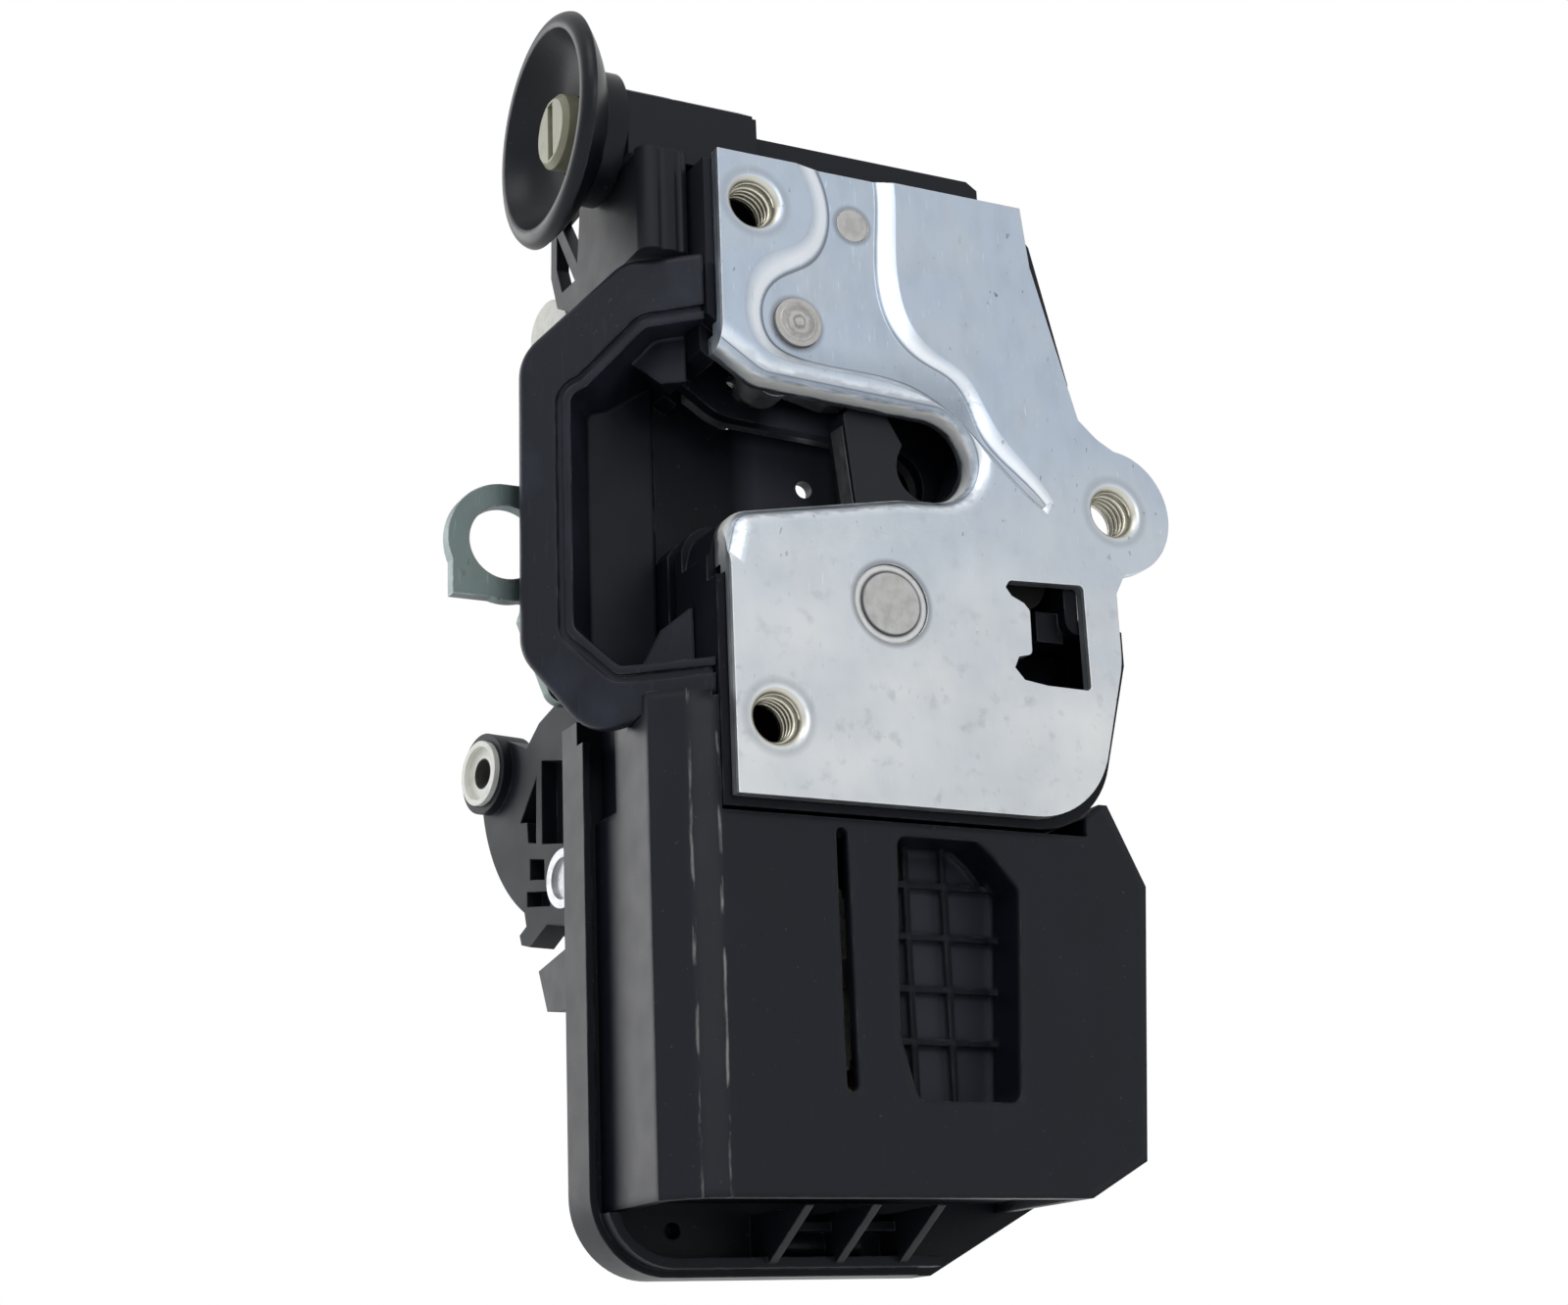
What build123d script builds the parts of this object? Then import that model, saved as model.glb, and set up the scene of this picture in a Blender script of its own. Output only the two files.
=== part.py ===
from build123d import *
import os
from math import asin, cos, degrees, radians, sin, tan

# Door latch actuator. Millimetres, +Z up. The plate's outer face lies in the plane y = 0 and looks along -Y,
# +X runs along the plate and +Y into the door. The origin is on the fork bolt's pivot, on that face.

# ---------------------------------------------------------------- driving dimensions
RUN = 0.05            # radial running clearance of a pin in its hole
GAP = 0.3             # clearance between pieces that pass each other

# face plate
PLATE_T = 2.0
PLATE_LEFT = -24.4
PLATE_RIGHT = 37.6
PLATE_TOP = 65.0
PLATE_BOTTOM = -28.6
CORNER_R = 13.0       # large lower right corner
UPPER_HOLE = (-18.8, 57.6)
LOWER_HOLE = (-18.1, -17.8)
EAR_HOLE = (38.3, 18.3)
EAR_R = 9.6
THREAD_R = 3.4        # tapped M8
COLLAR_R = 5.3        # plunged collar round each thread
COLLAR_DEPTH = 7.0
COLLAR_MOUTH_R = 1.4  # rounding where the collar is drawn in
CHANNEL_DEPTH = 1.0   # stamped channel between the upper hole's pad and the right side

# mouth for the striker
STRIKER_R = 4.5
MOUTH_END_X = 8.5     # centre of the round end
MOUTH_Z = 23.4
MOUTH_R = 6.6
LIP_DEPTH = 5.0       # how far the rolled lip reaches in
LIP_R = 3.2           # outer radius of the bend
BEND_FILL = 1.4       # thickening inside the bend
CASE_LIP = 1.2        # how far the plastic behind stands into the mouth

# latch case and back plate
CASE_FRONT = 2.3
CASE_WALL = 2.2
CASE_FLOOR = 2.0
CASE_DEPTH = 12.9
CASE_RIM = 1.2        # how far the case shows round the plate
BACK_PLATE_T = 2.0
PIECE_GAP = 0.2       # between stacked pieces

# fork bolt
FORK_T = 5.0
FORK_FRONT = 5.6
FORK_R = 31.6
FORK_HUB_R = 14.0
FORK_FROM = -6.0      # angles from +Z towards +X, degrees
FORK_TO = 60.0
FORK_COAT = 1.2
FORK_SWING = 60.0     # from closed to open
FORK_TOE_R = 17.6
PIVOT_R = 4.6
PIVOT_COLLAR_R = 5.7  # stepped ring round its end
PIVOT_STEP = 0.3      # how far that ring lies below the end
RIVET_SPREAD = 0.9    # how far a rivet's tail spreads over the back plate

# detent lever
DETENT_PIVOT = (-12.4, 40.3)
DETENT_PIVOT_R = 2.9
DETENT_HEAD_R = 3.6
DETENT_HUB_R = 7.0
DETENT_NOSE = (-3.9, 29.5)   # its lower corner when it holds the fork
DETENT_LIFT = 15.0
DETENT_PIN_R = 2.0
DETENT_PIN = (-14.0, 34.5)
CASE_PIN = (-2.7, 57.3)
CASE_PIN_R = 2.5

# striker guard
GUARD_TURN = 40.0     # its rim faces half way between the plate and the side
GUARD_REACH = 28.0
GUARD_TOP = 50.0
GUARD_BOTTOM = -18.0
GUARD_FLANGE = 8.0
GUARD_T = 1.8
GUARD_RIM_T = 2.2
GUARD_BACK = 23.6

# actuator housing
SHELL_FRONT = 2.3
SHELL_LEFT = -34.2
SHELL_WALL = 2.0
SHELL_BACK = 25.3
SHELL_BOTTOM = -80.3
SHELL_TOP = -30.4
SHELL_CORNER_R = 7.4  # inside the front left corner
CORNER_STEPS = ((8.0, 0.0), (4.3, 0.9), (0.0, 4.6))   # its two outer facets, from the left and the front face
SHOULDER_TOP = -14.0
FLOOR_Z = -77.0
POCKET_DEPTH = 8.0
POCKET_WALL = 1.6

# rear cover
COVER_T = 6.2
COVER_SKIN = 2.2
COVER_LEFT = -36.7
COVER_BOTTOM = -88.8
COVER_CORNER_R = 11.0

# lock housing
LOCK_FRONT = 17.4
LOCK_BACK = 24.6
LOCK_WALL = 2.0
BLOCK_TOP = 75.5
BRIDGE_TOP = 73.6

# key funnel and receiver
KEY_Y = 17.0
KEY_Z = 72.2
FUNNEL_RIM_X = -42.6
FUNNEL_RIM_R = 17.2
FUNNEL_NECK_R = 7.6
BOSS_LEFT = -36.6
BLOCK_LEFT = -34.5
COLLAR_WALL = 2.2
RECEIVER_R = 5.5
RECEIVER_FACE_X = -42.8
KEY_SHAFT_R = 3.2

# outside release lever
RELEASE_Y = 25.2
RELEASE_T = 2.0
RELEASE_PIVOT = (-16.0, 3.0)
RELEASE_STUD_R = 3.0
LOOP_CENTRE = (-46.9, 11.5)
LOOP_HOLE_R = 5.4
LOOP_R = 8.6

# side levers, on a plane turned a little from the side face
SIDE_TURN = 10.0
SIDE_ORIGIN = (-32.5, 38.5, -32.8)
SECTOR_T = 4.0
SIDE_PIN_R = 2.5
SIDE_PIN_HEAD_R = 4.3
BUSH_AT = (21.7, 20.0)
BUSH_R = 4.9
BUSH_BORE_R = 2.2
BRACKET_T = 2.0
LOCK_LEVER_PIVOT = (3.0, 55.0)
LOCK_LEVER_T = 3.0
LOCK_TIP = (6.0, 86.5)
LOCK_TIP_R = 5.2

# motor and gear
MOTOR_R = 9.5
MOTOR_FLAT = 6.2
MOTOR_Z = -65.5
MOTOR_LEFT = 9.0
MOTOR_RIGHT = 33.0
SHAFT_R = 1.0
WORM_R = 3.2
WORM_PITCH = 2.4
WORM_CLEAR = 0.15     # between the thread and the teeth's tips
WHEEL_TEETH = 32
WHEEL_R = 12.6
WHEEL_ROOT_R = 11.3
WHEEL_T = 5.0
WHEEL_X = -3.0
CRANK_R = 8.0
CRANK_PIN_R = 2.0
WHEEL_PIN_R = 2.0
SLIDER_T = 2.2
CRANK_REST = 35.0     # how far below the level its crank pin rests

# ---------------------------------------------------------------- derived places
CASE_BACK = CASE_FRONT + CASE_DEPTH
BACK_PLATE_FRONT = CASE_BACK + PIECE_GAP
BACK_PLATE_BACK = BACK_PLATE_FRONT + BACK_PLATE_T
COVER_FRONT = SHELL_BACK
MOTOR_AXIS = (SHELL_FRONT + POCKET_DEPTH + POCKET_WALL + 0.1 + MOTOR_FLAT, MOTOR_Z)   # y, z
COVER_BACK = COVER_FRONT + COVER_T
WHEEL_Z = MOTOR_AXIS[1] + WORM_R + WORM_CLEAR + WHEEL_R
FORK_BACK = FORK_FRONT + FORK_T
RELEASE_BACK = RELEASE_Y + RELEASE_T
CRANK_PIN = (
    WHEEL_X - CRANK_R * cos(radians(CRANK_REST)),
    WHEEL_Z - CRANK_R * sin(radians(CRANK_REST)),
)

FRONT = Plane(origin=(0, 0, 0), x_dir=(1, 0, 0), z_dir=(0, -1, 0))
SIDE = Plane.YZ
LEVERS = Plane(
    origin=SIDE_ORIGIN,
    x_dir=(-sin(radians(SIDE_TURN)), cos(radians(SIDE_TURN)), 0),
    z_dir=(cos(radians(SIDE_TURN)), sin(radians(SIDE_TURN)), 0),
)
GUARD = Plane(
    origin=(PLATE_LEFT - CASE_RIM, CASE_FRONT + 0.5, 0),
    x_dir=(cos(radians(GUARD_TURN)), -sin(radians(GUARD_TURN)), 0),
    z_dir=(-sin(radians(GUARD_TURN)), -cos(radians(GUARD_TURN)), 0),
)


# ---------------------------------------------------------------- small helpers
def slab(profile, front, back):
    """A front-view profile (x right, z up) made solid between two depths."""
    return Pos(0, back, 0) * extrude(FRONT * profile, back - front)


def plank(profile, left, right):
    """A side-view profile (y right, z up) made solid between two x values."""
    return Pos(left, 0, 0) * extrude(SIDE * profile, right - left)


def leaf(profile, outer, inner):
    """A profile in the side levers' plane made solid between two depths behind that plane."""
    return extrude(LEVERS.offset(outer) * profile, inner - outer)


def polygon(points):
    return make_face(Polyline(*points, close=True))


def disc(centre, radius):
    return Pos(*centre) * Circle(radius)


def box(x, y, z):
    """A box from three (low, high) pairs."""
    size = [pair[1] - pair[0] for pair in (x, y, z)]
    centre = [(pair[1] + pair[0]) / 2 for pair in (x, y, z)]
    return Pos(*centre) * Box(*size)


def round_corners(face, radius, wanted):
    """Round the corners of a flat face that lie at the wanted (x, y) points."""
    corners = [v for v in face.vertices() for p in wanted if abs(v.X - p[0]) + abs(v.Y - p[1]) < 0.01]
    return fillet(corners, radius)


def polar(radius, angle):
    """A front-view point at an angle from +Z towards +X."""
    return (radius * sin(radians(angle)), radius * cos(radians(angle)))


def pin_y(centre, radius, front, back):
    return slab(disc(centre, radius), front, back)


# ---------------------------------------------------------------- shared outlines
def mouth_outline(grow=0.0):
    """The striker's way in: a round-ended slot that widens to the left, where the plate's corner is rounded."""
    low = MOUTH_Z - MOUTH_R
    high = MOUTH_Z + MOUTH_R
    left = PLATE_LEFT - 12
    foot = (3.0, low - 0.4)
    flare = (PLATE_LEFT + 6, high + 1.2)
    corner = (PLATE_LEFT + 0.6, low - 5.6)
    edge = Curve() + [
        Line((left, high + 13), flare),
        Line(flare, (MOUTH_END_X, high)),
        ThreePointArc((MOUTH_END_X, high), (MOUTH_END_X + MOUTH_R, MOUTH_Z), (MOUTH_END_X, low)),
        Polyline((MOUTH_END_X, low), foot, corner, (PLATE_LEFT - 0.7, low - 11), (left, low - 13), (left, high + 13)),
    ]
    face = round_corners(make_face(edge), 6, [flare, foot])
    face = round_corners(face, 4.2, [corner])
    return offset(face, grow) if grow else face


def plate_outline():
    """The plate with its ear, before the mouth is cut."""
    top_right = (25.6, PLATE_TOP)
    waist = (33.6, 30.6)
    neck = (PLATE_RIGHT, 6.0)
    corner = (31.5, PLATE_BOTTOM)
    side = (PLATE_RIGHT, -5.0)
    body = polygon([
        (PLATE_LEFT, PLATE_BOTTOM), corner, side, neck, (PLATE_RIGHT - 4, 12), waist,
        (26.6, 55.5), top_right, (PLATE_LEFT, PLATE_TOP),
    ])
    body = round_corners(body, CORNER_R, [corner])
    body = round_corners(body, 14, [side])
    ear = disc(EAR_HOLE, EAR_R)
    web = polygon([(30, 33), (31.0, 34.0), (36.2, 29.4), (42.6, 26.0), (44.6, 12.2), (39.4, 9.0), (36.2, 3.0), (28, 3)])
    web = round_corners(web, 5, [(36.2, 29.4), (39.4, 9.0)])
    return body + ear + web


def case_outline(inset=0.0):
    """The latch case, which shows as a narrow rim round the plate."""
    left = PLATE_LEFT - CASE_RIM
    bottom = PLATE_BOTTOM - CASE_RIM
    corner = (PLATE_RIGHT - 4.8, bottom)
    points = [
        (left, bottom), corner, (PLATE_RIGHT + 1.9, -4.5), (PLATE_RIGHT + 1.9, 0.6), (EAR_HOLE[0] - 6.2, 1.6),
        (EAR_HOLE[0] - 6.2, 31), (33.4, 38.5), (28.2, 60), (24.6, PLATE_TOP - 0.6), (left, PLATE_TOP - 0.6),
    ]
    face = round_corners(polygon(points), CORNER_R, [corner])
    return offset(face, -inset) if inset else face


# ---------------------------------------------------------------- latch
def face_plate():
    """Zinc plated plate with a rolled mouth, drawn collars and a stamped channel."""
    beyond = rectangle((PLATE_LEFT - 8, PLATE_LEFT + 2), (1, 50))
    lip = slab(mouth_outline(PLATE_T) - mouth_outline(), 0, LIP_DEPTH)
    lip += slab(mouth_outline(PLATE_T + BEND_FILL) - mouth_outline(), 0, PLATE_T + BEND_FILL)
    plate = slab(plate_outline() + beyond, 0, PLATE_T) + (lip & box((PLATE_LEFT - 8, 40), (0, 9), (1, 50)))
    plate -= slab(mouth_outline(), -1, LIP_DEPTH + 1)
    plate = fillet([e for e in plate.edges().group_by(Axis.Y)[0] if on_mouth(e)], LIP_R)
    plate &= box((PLATE_LEFT, 60), (-1, 9), (-60, 90))
    plate -= channel_cut()
    plate += slab(channel_floor() & (plate_outline() - mouth_outline(LIP_R)), CHANNEL_DEPTH, CASE_FRONT)
    plate -= slab(window_outline(), -1, 5)
    for hole in (UPPER_HOLE, LOWER_HOLE, EAR_HOLE):
        plate += slab(disc(hole, COLLAR_R), PLATE_T / 2, COLLAR_DEPTH)
        plate -= slab(disc(hole, THREAD_R), -1, COLLAR_DEPTH + 1)
        plate -= drawn_entry(hole)
    plate -= pin_y((0, 0), PIVOT_COLLAR_R + RUN, -1, 9)
    plate -= pin_y(DETENT_PIVOT, DETENT_HEAD_R + RUN, -1, 9)
    plate -= pin_y(CASE_PIN, CASE_PIN_R + RUN, -1, 9)
    return plate


def on_mouth(edge):
    """Whether an edge of the plate's outer face runs along the mouth."""
    return (FRONT * mouth_outline()).face().outer_wire().distance_to(edge @ 0.5) < 0.01


def channel_edges(left, right):
    """A channel's outline from its left and right edges, which run from the plate's top down to its point."""
    edge = Curve() + [Spline(*left), Line(left[-1], right[0]), Spline(*right), Line(right[-1], left[0])]
    return make_face(edge)


def channel_floor():
    """The channel at its full depth, down to a point by the ear."""
    left = [
        (-9.0, PLATE_TOP + 2), (-6.5, 61.0), (-6.5, 55.6), (-9.6, 49.8), (-14.8, 46.6), (-17.5, 42.4), (-16.3, 37.0),
        (-11.0, 35.0), (-2.6, 34.6), (6.4, 33.4), (12.6, 30.0), (19.6, 23.7), (26.4, 17.8),
    ]
    right = [
        (26.9, 18.2), (22.0, 22.4), (16.4, 27.8), (14.9, 31.6), (12.4, 35.2), (7.2, 37.6), (2.6, 41.8), (0.8, 47.0),
        (0.8, 56.0), (0.8, PLATE_TOP + 2),
    ]
    return channel_edges(left, right)


def channel_rim():
    """The channel where its rounded shoulders meet the plate's outer face."""
    left = [
        (-13.4, PLATE_TOP + 2), (-10.2, 61.0), (-9.8, 57.0), (-12.4, 52.4), (-17.6, 49.6), (-20.8, 43.4), (-19.2, 35.8),
        (-12.0, 33.5), (-2.6, 33.3), (5.6, 32.0), (11.7, 28.7), (18.8, 22.6), (26.6, 16.4),
    ]
    right = [
        (27.7, 18.6), (24.0, 23.2), (19.0, 28.6), (16.6, 32.8), (13.8, 36.6), (9.2, 39.2), (5.6, 43.0), (4.1, 47.8),
        (3.9, 56.0), (3.9, PLATE_TOP + 2),
    ]
    return channel_edges(left, right)


def channel_cut():
    """Pressed with a crisp foot and wide shoulders."""
    return loft([Pos(0, CHANNEL_DEPTH, 0) * (FRONT * channel_floor()), FRONT * channel_rim()], ruled=True)


def window_outline():
    """A window with blunt lobes at its two left corners and a narrower way between them."""
    points = [
        (19.4, 5.6), (31.9, 6.2), (32.0, -9.6), (24.7, -9.5), (20.9, -9.0), (19.4, -7.3), (20.2, -5.6), (22.4, -5.1),
        (22.5, 1.4), (21.6, 2.4), (19.6, 3.3), (18.7, 4.5),
    ]
    return round_corners(polygon(points), 0.8, [points[0], points[1], points[2], points[7], points[8]])


def drawn_entry(hole):
    """The rounded way into a plunged collar."""
    reach = THREAD_R + COLLAR_MOUTH_R
    section = Rectangle(reach + 1, COLLAR_MOUTH_R + 1, align=(Align.MIN, Align.MAX))
    section = Pos(0, COLLAR_MOUTH_R) * section - Pos(reach, COLLAR_MOUTH_R) * Circle(COLLAR_MOUTH_R)
    section &= Pos(0, -1) * Rectangle(reach, 2 * COLLAR_MOUTH_R + 2, align=(Align.MIN, Align.MIN))
    ring = revolve(Plane.XY * section, Axis.Y)
    return Pos(hole[0], 0, hole[1]) * ring


def latch_case():
    """Black tray behind the plate, which holds the fork bolt and the detent lever."""
    body = slab(case_outline(), CASE_FRONT, CASE_BACK)
    body -= slab(case_outline(CASE_WALL), CASE_FRONT - 1, CASE_BACK - CASE_FLOOR)
    for hole in (UPPER_HOLE, LOWER_HOLE):
        body -= slab(disc(hole, COLLAR_R + PIECE_GAP), CASE_FRONT - 1, COLLAR_DEPTH + PIECE_GAP)
        body -= slab(disc(hole, THREAD_R + 1), CASE_FRONT, CASE_BACK + 1)
    body += box((26.2, 30.6), (CASE_FRONT + 2, CASE_BACK - 1), (-1.5, 3.0))
    body += slab(disc(CASE_PIN, CASE_PIN_R + 2), CASE_FRONT + 2, CASE_BACK - 1)
    body -= slab(mouth_outline(PLATE_T + BEND_FILL + PIECE_GAP), CASE_FRONT - 1, LIP_DEPTH + PIECE_GAP)
    body -= slab(mouth_outline(), CASE_FRONT - 1, CASE_BACK - CASE_FLOOR)
    body -= slab(mouth_outline(-CASE_LIP), CASE_FRONT - 1, CASE_BACK + 1)
    body -= slab(disc((0, 0), PIVOT_R + RUN), CASE_FRONT, CASE_BACK + 1)
    body -= slab(disc(DETENT_PIVOT, DETENT_PIVOT_R + RUN), CASE_FRONT, CASE_BACK + 1)
    body -= slab(disc(CASE_PIN, CASE_PIN_R + RUN), CASE_FRONT, CASE_BACK + 1)
    return body - detent_pin_window(CASE_FRONT, CASE_BACK + 1)


def detent_pin_window(front, back):
    """Room for the detent pin's swing, clear of the striker's way."""
    dx, dz = DETENT_PIN[0] - DETENT_PIVOT[0], DETENT_PIN[1] - DETENT_PIVOT[1]
    turn = radians(DETENT_LIFT)
    down = (DETENT_PIVOT[0] + dx * cos(turn) + dz * sin(turn), DETENT_PIVOT[1] + dz * cos(turn) - dx * sin(turn))
    return slab(hull_of(DETENT_PIN, DETENT_PIN_R + GAP, down, DETENT_PIN_R + GAP), front, back)


def back_plate():
    """Steel plate that carries the pivots' far ends."""
    outline = polygon([
        (-23, -26.5), (22, -26.5), (33, -16), (36, -2), (30.5, 4), (30.5, 37), (25, 58), (20, 62.5), (-23, 62.5),
    ])
    outline = round_corners(outline, 6, [(22, -26.5), (33, -16), (20, 62.5), (-23, 62.5), (-23, -26.5)])
    outline -= mouth_outline(PIECE_GAP - CASE_LIP)
    plate = slab(outline, BACK_PLATE_FRONT, BACK_PLATE_BACK)
    for hole, radius in (((0, 0), PIVOT_R), (DETENT_PIVOT, DETENT_PIVOT_R), (RELEASE_PIVOT, RELEASE_STUD_R)):
        plate -= slab(disc(hole, radius + RUN), 0, 30)
    for hole in (UPPER_HOLE, LOWER_HOLE):
        plate -= slab(disc(hole, THREAD_R + 1), 0, 30)
    return plate - detent_pin_window(0, 30)


def rivet(centre, radius, end, head_front, head_radius):
    """A shouldered rivet: its stepped outer end lies in the plate, and its tail is spread over the back plate."""
    shank = slab(disc(centre, radius), end, BACK_PLATE_BACK)
    tail = slab(disc(centre, radius + RIVET_SPREAD), BACK_PLATE_BACK, BACK_PLATE_BACK + 1.0)
    head = slab(disc(centre, head_radius), head_front, CASE_FRONT)
    body = shank + tail + head
    edges = body.edges().filter_by(GeomType.CIRCLE).sort_by(Axis.Y)
    return chamfer(edges[0], 0.12)


def fork_profile(grow=0.0):
    """Hub, holding arm and leading arm, with the striker's notch between them, and a toe that works the switch."""
    reach = FORK_R + grow
    middle = (FORK_FROM + FORK_TO) / 2
    wedge = polygon([(0, 0), polar(3 * reach, FORK_FROM), polar(4 * reach, middle), polar(3 * reach, FORK_TO)])
    hub_r = FORK_HUB_R + grow
    toe_r = FORK_TOE_R + grow
    toe = polygon([(0, 0), polar(hub_r, -45), polar(toe_r, -75), polar(toe_r, -120), polar(hub_r, -175)])
    notch_r = STRIKER_R + 0.4 - grow
    seat_r = 25.0
    along = degrees(asin((MOUTH_END_X + MOUTH_R - STRIKER_R - 0.5) / seat_r))
    notch = Rot(0, 0, -along) * (Pos(0, seat_r + reach / 2) * Rectangle(2 * notch_r, reach)) + disc(polar(seat_r, along), notch_r)
    way_out = MOUTH_Z - STRIKER_R - GAP + grow
    cleared = Rot(0, 0, -FORK_SWING) * (Pos(-25, way_out + 25) * Rectangle(50, 50)) & wedge & rectangle((-20, 9), (10, 60))
    swing_r = ((DETENT_NOSE[0] - DETENT_PIVOT[0]) ** 2 + (DETENT_NOSE[1] - DETENT_PIVOT[1]) ** 2) ** 0.5
    catch = disc(DETENT_PIVOT, swing_r + GAP - grow)
    return Circle(hub_r) + ((Circle(reach) & wedge) - notch - cleared - catch) + toe


def fork_bolt():
    """Steel core that the striker turns."""
    front = FORK_FRONT + 0.8
    core = slab(fork_profile(-FORK_COAT) & Circle(FORK_R - FORK_COAT - 0.3), front, FORK_BACK - 0.8)
    return core - slab(disc((0, 0), PIVOT_R + RUN), 0, 20)


def fork_coating():
    """Plastic moulded over the steel, which quietens the striker."""
    coat = slab(fork_profile(), FORK_FRONT, FORK_BACK)
    coat -= slab(fork_profile(-FORK_COAT) & Circle(FORK_R - FORK_COAT - 0.3), FORK_FRONT + 0.8, FORK_BACK - 0.8)
    coat -= slab(disc((0, 0), PIVOT_R + 2.0), 0, 20)
    relief = Pos(*polar(24, 47)) * Rot(0, 0, -47) * SlotOverall(12, 3, rotation=90)
    return coat - slab(relief, FORK_FRONT - 1, FORK_FRONT + 0.5)


def torsion_spring(centre, radius, wire, front, ends):
    """One turn of wire with two straight ends, given as angles from +Z."""
    middle = front + wire / 2
    turn = Pos(centre[0], middle, centre[1]) * (Rot(90, 0, 0) * Torus(radius, wire / 2))
    for angle, length in ends:
        start = Vector(centre[0] + radius * sin(radians(angle)), middle, centre[1] + radius * cos(radians(angle)))
        heading = Vector(sin(radians(angle)), 0, cos(radians(angle)))
        turn += extrude(Plane(origin=start, z_dir=heading) * Circle(wire / 2), length)
    return turn


def detent_lever():
    """Pawl that holds the fork's arm, drawn here lifted clear of it."""
    x, z = DETENT_PIVOT
    nose_x, nose_z = DETENT_NOSE
    arm = polygon([
        (x + 2, z + 6.5), (nose_x, nose_z + 7), (nose_x, nose_z), (nose_x - 3, nose_z + 0.4), (x - 3, z - 6),
    ])
    lifted = Pos(x, z) * Rot(0, 0, DETENT_LIFT) * Pos(-x, -z) * arm
    foot = hull_of((x - 2, z - 4), 3.6, DETENT_PIN, DETENT_PIN_R + 1.6)
    body = slab(disc(DETENT_PIVOT, DETENT_HUB_R) + lifted + foot, FORK_FRONT, FORK_BACK)
    body -= slab(disc(DETENT_PIVOT, DETENT_PIVOT_R + RUN), 0, 20)
    return body - slab(disc(DETENT_PIN, DETENT_PIN_R), 0, 20)


def hull_of(a, ra, b, rb):
    """Two discs joined by a straight web."""
    dx, dz = b[0] - a[0], b[1] - a[1]
    length = (dx * dx + dz * dz) ** 0.5
    nx, nz = -dz / length, dx / length
    web = polygon([
        (a[0] + nx * ra, a[1] + nz * ra), (b[0] + nx * rb, b[1] + nz * rb),
        (b[0] - nx * rb, b[1] - nz * rb), (a[0] - nx * ra, a[1] - nz * ra),
    ])
    return disc(a, ra) + disc(b, rb) + web


def detent_pin():
    """Pin that the release levers reach through the case."""
    return pin_y(DETENT_PIN, DETENT_PIN_R, FORK_FRONT, RELEASE_BACK + 1.2)


def fork_bumper():
    """Rubber stop beside the leading arm."""
    place = polar(25.6, FORK_TO + 11.5)
    return slab(disc(place, 4.8), FORK_FRONT, CASE_BACK - CASE_FLOOR)


def position_switch():
    """Sealed switch that reports whether the fork is closed."""
    case = box((10, 22), (FORK_FRONT + 0.5, CASE_BACK - CASE_FLOOR), (-24.5, -15.5))
    nose = box((11, 14), (FORK_FRONT + 2, FORK_FRONT + 4.5), (-15.5, -14.3))
    return case + nose


# ---------------------------------------------------------------- striker guard
def guard_outline(inset=0.0):
    """The guard's rim, drawn to the left of the plate's edge on its turned plane."""
    left = -GUARD_REACH
    points = [
        (6, GUARD_TOP), (-12.2, GUARD_TOP + 0.3), (left + 0.2, 38.0), (left, -6.0), (-18.4, GUARD_BOTTOM - 0.4),
        (6, GUARD_BOTTOM + 4.6),
    ]
    face = polygon(points)
    face = round_corners(face, 5, [points[1]])
    face = round_corners(face, 7, [points[2], points[3], points[4]])
    return offset(face, -inset, kind=Kind.INTERSECTION) if inset else face


def striker_guard():
    """Black cup that lets the striker in and keeps water out."""
    opening = polygon([(8, 39.9), (-8.9, 39.6), (-17.6, 31.9), (-20, 30.9), (-20, -3.2), (-13.6, -9.4), (8, -9.4)])
    opening = round_corners(opening, 1.6, [(-8.9, 39.6), (-17.6, 31.9), (-20, 30.9), (-20, -3.2), (-13.6, -9.4)])
    cup = offset(opening, GUARD_T, kind=Kind.INTERSECTION)
    keep = box((-60, PLATE_LEFT - CASE_RIM - PIECE_GAP), (-20, GUARD_BACK), (-30, 60))
    rim = extrude(GUARD * guard_outline(), -GUARD_RIM_T)
    body = fillet(rim.faces().sort_by(Axis(GUARD.origin, GUARD.z_dir))[-1].edges(), 1.2)
    body += extrude(GUARD * cup, -40) & keep
    body -= extrude(GUARD.offset(1) * opening, -60) & box((-60, 0), (-20, GUARD_BACK - GUARD_T), (-30, 60))
    body = body & keep
    rim_step = offset(opening, 2.2, kind=Kind.INTERSECTION) - offset(opening, 1.1, kind=Kind.INTERSECTION)
    body -= extrude(GUARD.offset(1) * rim_step, -1.7) & keep
    for outline in (
        [(8, -10), (-13.0, -10), (-9.2, -3.4), (-5.0, -0.6), (8, -0.6)],
        [(8, 40.4), (-9.4, 40.4), (-12.6, 36.8), (-8.2, 33.0), (8, 32.2)],
    ):
        body += extrude(GUARD.offset(-5.0) * polygon(outline), -40) & keep & extrude(GUARD * cup, -40)
    return body


# ---------------------------------------------------------------- lower housing
def shell_outline(inset=0.0):
    """The lower housing seen from the front; its upper edge follows the case's round corner."""
    case_edge = PLATE_RIGHT - 4.8
    points = [
        (SHELL_LEFT, SHELL_BOTTOM), (27.6, SHELL_BOTTOM), (36.8, -75.3), (40.2, -37.0), (34.6, -25.6), (31, -25.6),
        (31, SHELL_TOP), (SHELL_LEFT, SHELL_TOP),
    ]
    face = polygon(points) - (Pos(0, 0) * offset(case_outline(), 0.6))
    face &= Rectangle(200, 200)
    face -= polygon([(case_edge - 3, -20), (60, -20), (60, -25.4), (case_edge - 3, -25.4)])
    return offset(face, -inset, kind=Kind.INTERSECTION) if inset else face


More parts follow.
